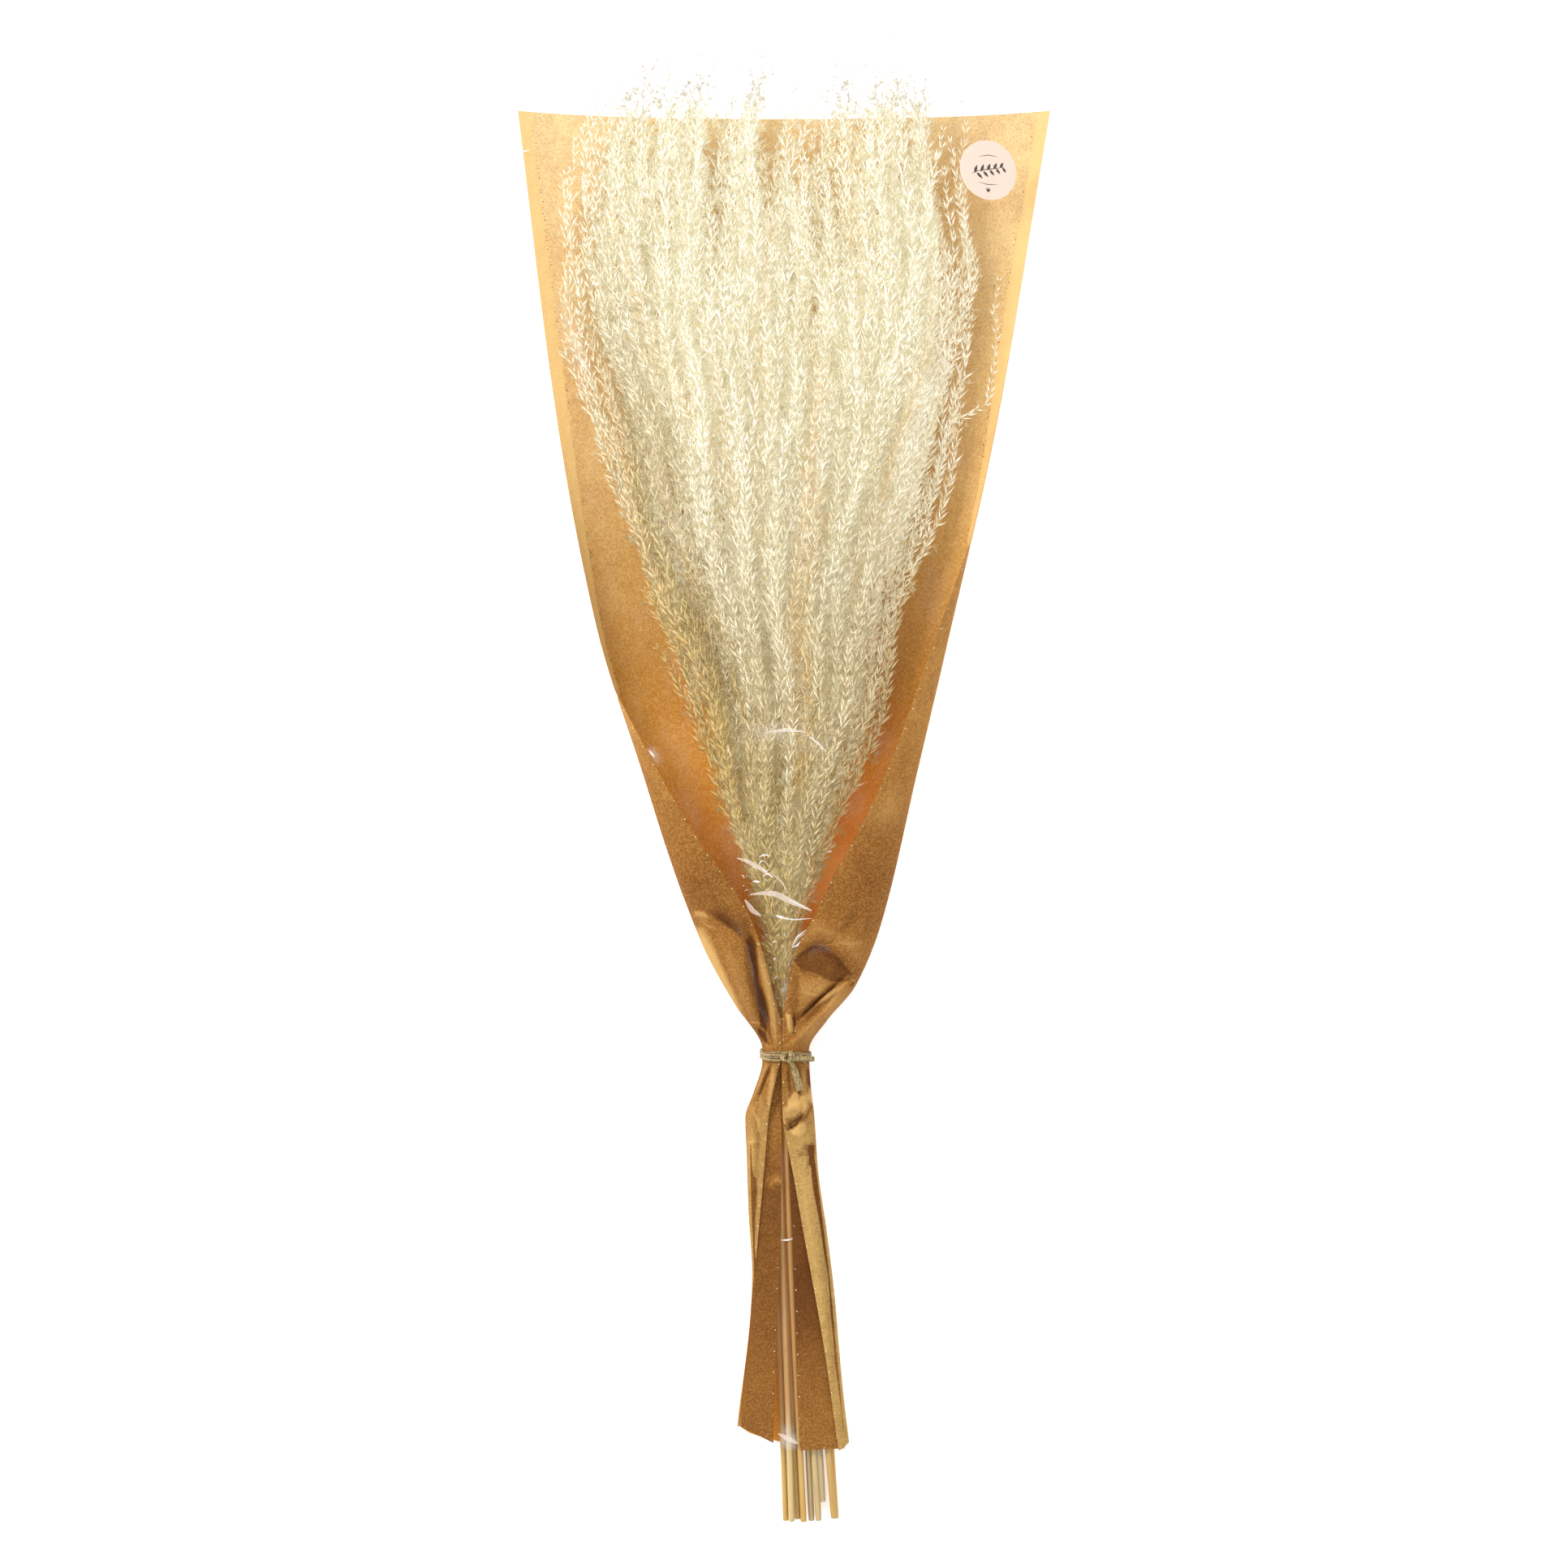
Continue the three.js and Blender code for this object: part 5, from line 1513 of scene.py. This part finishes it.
for number in range(10):
    rng = np.random.default_rng(100 + number)
    count = PER_PLUME + {5: 14, 9: 9}.get(number, 0)
    grown_branches = [branch(number, rng) for _ in range(count)]
    if number == 5:
        stray = evenly([(86, 326, 30), (95, 329, 31), (102, 333, 32), (106.4, 342, 32), (107.7, 360, 31),
                        (108.3, 371, 31), (107.7, 387, 30), (109.3, 396, 29)], BRANCH_POINTS)
        none = np.zeros(BRANCH_POINTS)
        grown_branches.append((stray, {"fade": np.linspace(1, 0.6, BRANCH_POINTS), "age": none + 0.3,
                                       "amber": none, "fluff": none, "tip": none}))
    base_lines = lines_mesh("branches", [line for line, _ in grown_branches], {
        key: [values[key] for _, values in grown_branches]
        for key in ("fade", "age", "amber", "fluff", "tip")})
    name = f"{number + 1:02d}"
    plume = grown(f"head_{name}", base_lines, plume_tree, {
        "Pitch": 4.1 * MM, "Tuft Pitch": 2.5 * MM, "Smallest": 0.8, "Largest": 1.25, "Roll": 1.2,
        "Stalk": 0.15 * MM, "Scatter": 1.1 * MM, "Tuft Scatter": 5.5 * MM, "Drop": 1.6 * MM, "Seed": number,
        "Pair A": pairs[0], "Pair B": pairs[1], "Pair C": pairs[2],
        "Tuft A": tufts[0], "Tuft B": tufts[1], "Tuft C": tufts[2], "Finish": silk.material})
    declare(plume, (f"plume_{name}",))

# %% [markdown]
# ## Raffia tie
#
# Raffia is a flat, dry palm fibre. Four strands run round the neck side by side, cross in a small knot,
# and end in a short twisted tail and one flat ribbon. Each is a strand with an oval section, so the
# light runs along it as it does on the real fibre.

# %% Tie
raffia = Finish("dry raffia", 0.5)
rib = raffia.grain(0.45, 2.0, (0.08, 1.0, 1.0))
rib_down = raffia.grain(0.45, 2.0, (1.0, 0.08, 1.0))
# The tone mark is partly each strand's own colour and partly painted shade: strands lying lower, under others
# or under the knot, are darker.
tone = raffia.mark("tone")
fibre_colour = raffia.mix(rib.above(0.5, 0.12), shade(158, 126, 72), shade(84, 60, 26))
fibre_colour = raffia.mix(tone, fibre_colour, shade(88, 64, 28))
raffia.paint(raffia.mix(rib_down.above(0.52, 0.12) * 0.45, fibre_colour, shade(226, 208, 150)))
raffia.bump(rib + rib_down, 0.12)


def round_neck(y, out, phase):
    """A closed loop round the gathered neck, as points of a rounded box."""
    a = np.linspace(0, 2 * math.pi, 73)
    wide, tall = 12.9 + out, 10.2 + out
    power = 0.62
    x = 0.9 + wide * np.sign(np.cos(a)) * np.abs(np.cos(a)) ** power
    z = 11.8 + tall * np.sign(np.sin(a)) * np.abs(np.sin(a)) ** power
    return np.stack([x, y + 0.45 * np.sin(a * 3 + phase) - 0.05 * x, z], axis=1)


tie_shapes = []
tie_tones = []


def add_strand(path, wide, thick, roll=0.0, tone=0.0, up=(0.0, 0.0, 1.0), sides=8):
    shape = strand(path, wide, thick, sides, roll, up)
    tie_shapes.append(shape)
    tie_tones.append(np.full(len(shape[0]), tone))


for y, out, wide, tone in [(2.0, 0.15, 0.9, 0.55), (0.9, 0.45, 1.3, 0.0), (-0.4, 0.1, 1.0, 0.45),
                           (-1.5, 0.4, 1.1, 0.1)]:
    add_strand(round_neck(y, out, 5 * y), wide, 0.55, tone=tone, up=(0.0, 1.0, 0.0), roll=math.pi / 2)

KNOT = np.array([2.2, 0.2, 24.0])
t = np.linspace(0, 1, 60)
for k, (size, turn, tone) in enumerate([(3.4, 0.5, 0.0), (2.6, 1.6, 0.3), (1.9, 2.5, 0.05)]):
    a = 2 * math.pi * t * 0.93 + turn
    loop = KNOT + np.stack([size * np.cos(a), 0.62 * size * np.sin(a), 1.3 * np.sin(2 * a + k) + 0.4], axis=1)
    add_strand(loop, 1.7, 0.9, roll=0.8 * np.sin(a), tone=tone)
wrap_a = np.linspace(-0.5 * math.pi, 1.5 * math.pi, 50)
add_strand(KNOT + np.stack([0.9 + 0.5 * np.cos(wrap_a), 2.9 * np.cos(wrap_a), 2.0 * np.sin(wrap_a) + 0.3],
                           axis=1),
           1.9, 0.8, up=(1.0, 0.0, 0.0), roll=math.pi / 2)
for k in range(4):
    a = 2 * math.pi * t * 1.6 + k * math.pi / 2
    tail = np.stack([4.0 + 11.4 * t, -0.4 - 0.25 * t * 2 + 0.9 * np.sin(a),
                     24.2 - 0.4 * t + 0.8 * np.cos(a)], axis=1)
    add_strand(tail, 1.45 - 0.2 * t, 0.8, roll=a, tone=0.3 if k == 2 else 0.05 * k)
for k, (x_end, y_end) in enumerate([(13.0, 1.6), (11.6, -2.9)]):
    spray = np.stack([4 + (x_end - 4) * t, y_end * t, 23.4 + 0.2 * np.sin(6 * t)], axis=1)
    add_strand(spray, 0.9, 0.5, tone=0.9)

ribbon_t = np.linspace(0, 1, 30)[:, None]
ribbon_s = np.linspace(-1, 1, 9)[None, :]
ribbon_x = 3.4 + 4.9 * ribbon_t ** 0.8
ribbon_y = -2.2 - 15.0 * ribbon_t
half = 1.2 + 0.55 * step(ribbon_t, 0, 0.5)
ribbon_z = 23.9 - 2.2 * ribbon_t + 0.45 * (1 - np.abs(ribbon_s)) + 0.35 * np.sin(5 * ribbon_t)
ribbon = np.stack([ribbon_x + half * ribbon_s * 0.95, ribbon_y + half * ribbon_s * 0.3, ribbon_z], axis=2)
ribbon_points, ribbon_faces, _ = closed_sheet(ribbon[::-1], 0.25)
tie_shapes.append((ribbon_points, ribbon_faces))
tie_tones.append(np.full(len(ribbon_points), 0.12))
tie_points, tie_faces = joined(tie_shapes)
tie = piece("raffia_strands", tie_points, tie_faces, [raffia], "raffia", ("raffia_tie",),
            marks={"tone": np.concatenate(tie_tones)})

# %% [markdown]
# ## The small band on the stems
#
# A thin clear elastic holds the left group of stems. It is one loop with a slight wave.

# %% Stem band
BAND_Y = -95.0
loop_a = np.linspace(0, 2 * math.pi, 61)
low_x, high_x = float(stem_x(0, BAND_Y)) - 1.9, float(stem_x(2, BAND_Y)) + 1.9
low_z, high_z = float(stem_z(0, BAND_Y)) - 1.9, float(stem_z(7, BAND_Y)) + 1.9
mid_x, mid_z = (low_x + high_x) / 2, (low_z + high_z) / 2
band_path = np.stack([
    mid_x + (high_x - low_x) / 2 * np.sign(np.cos(loop_a)) * np.abs(np.cos(loop_a)) ** 0.5,
    BAND_Y + 0.35 * np.sin(3 * loop_a),
    mid_z + (high_z - low_z) / 2 * np.sign(np.sin(loop_a)) * np.abs(np.sin(loop_a)) ** 0.5], axis=1)
elastic = Finish("clear elastic", 0.18, IOR=1.5)
elastic.paint(elastic.mix(elastic.grain(3.0), shade(250, 240, 230), shade(232, 214, 200)))
piece("elastic_band", *strand(band_path, 0.9, 0.35, 8, math.pi / 2, (0.0, 1.0, 0.0)), [elastic],
      "clear_film", ("stem_band",))

# %% [markdown]
# ## Tidying up
#
# The helper shapes are removed, and the visual model's box is printed. The visual model has to
# fill the same box as the imported model.

# %% Finish
for shape in (dome, *pairs, *tufts):
    bpy.data.objects.remove(shape)
low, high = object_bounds()
print("visual box", [round(v, 4) for v in (*low, *high)])
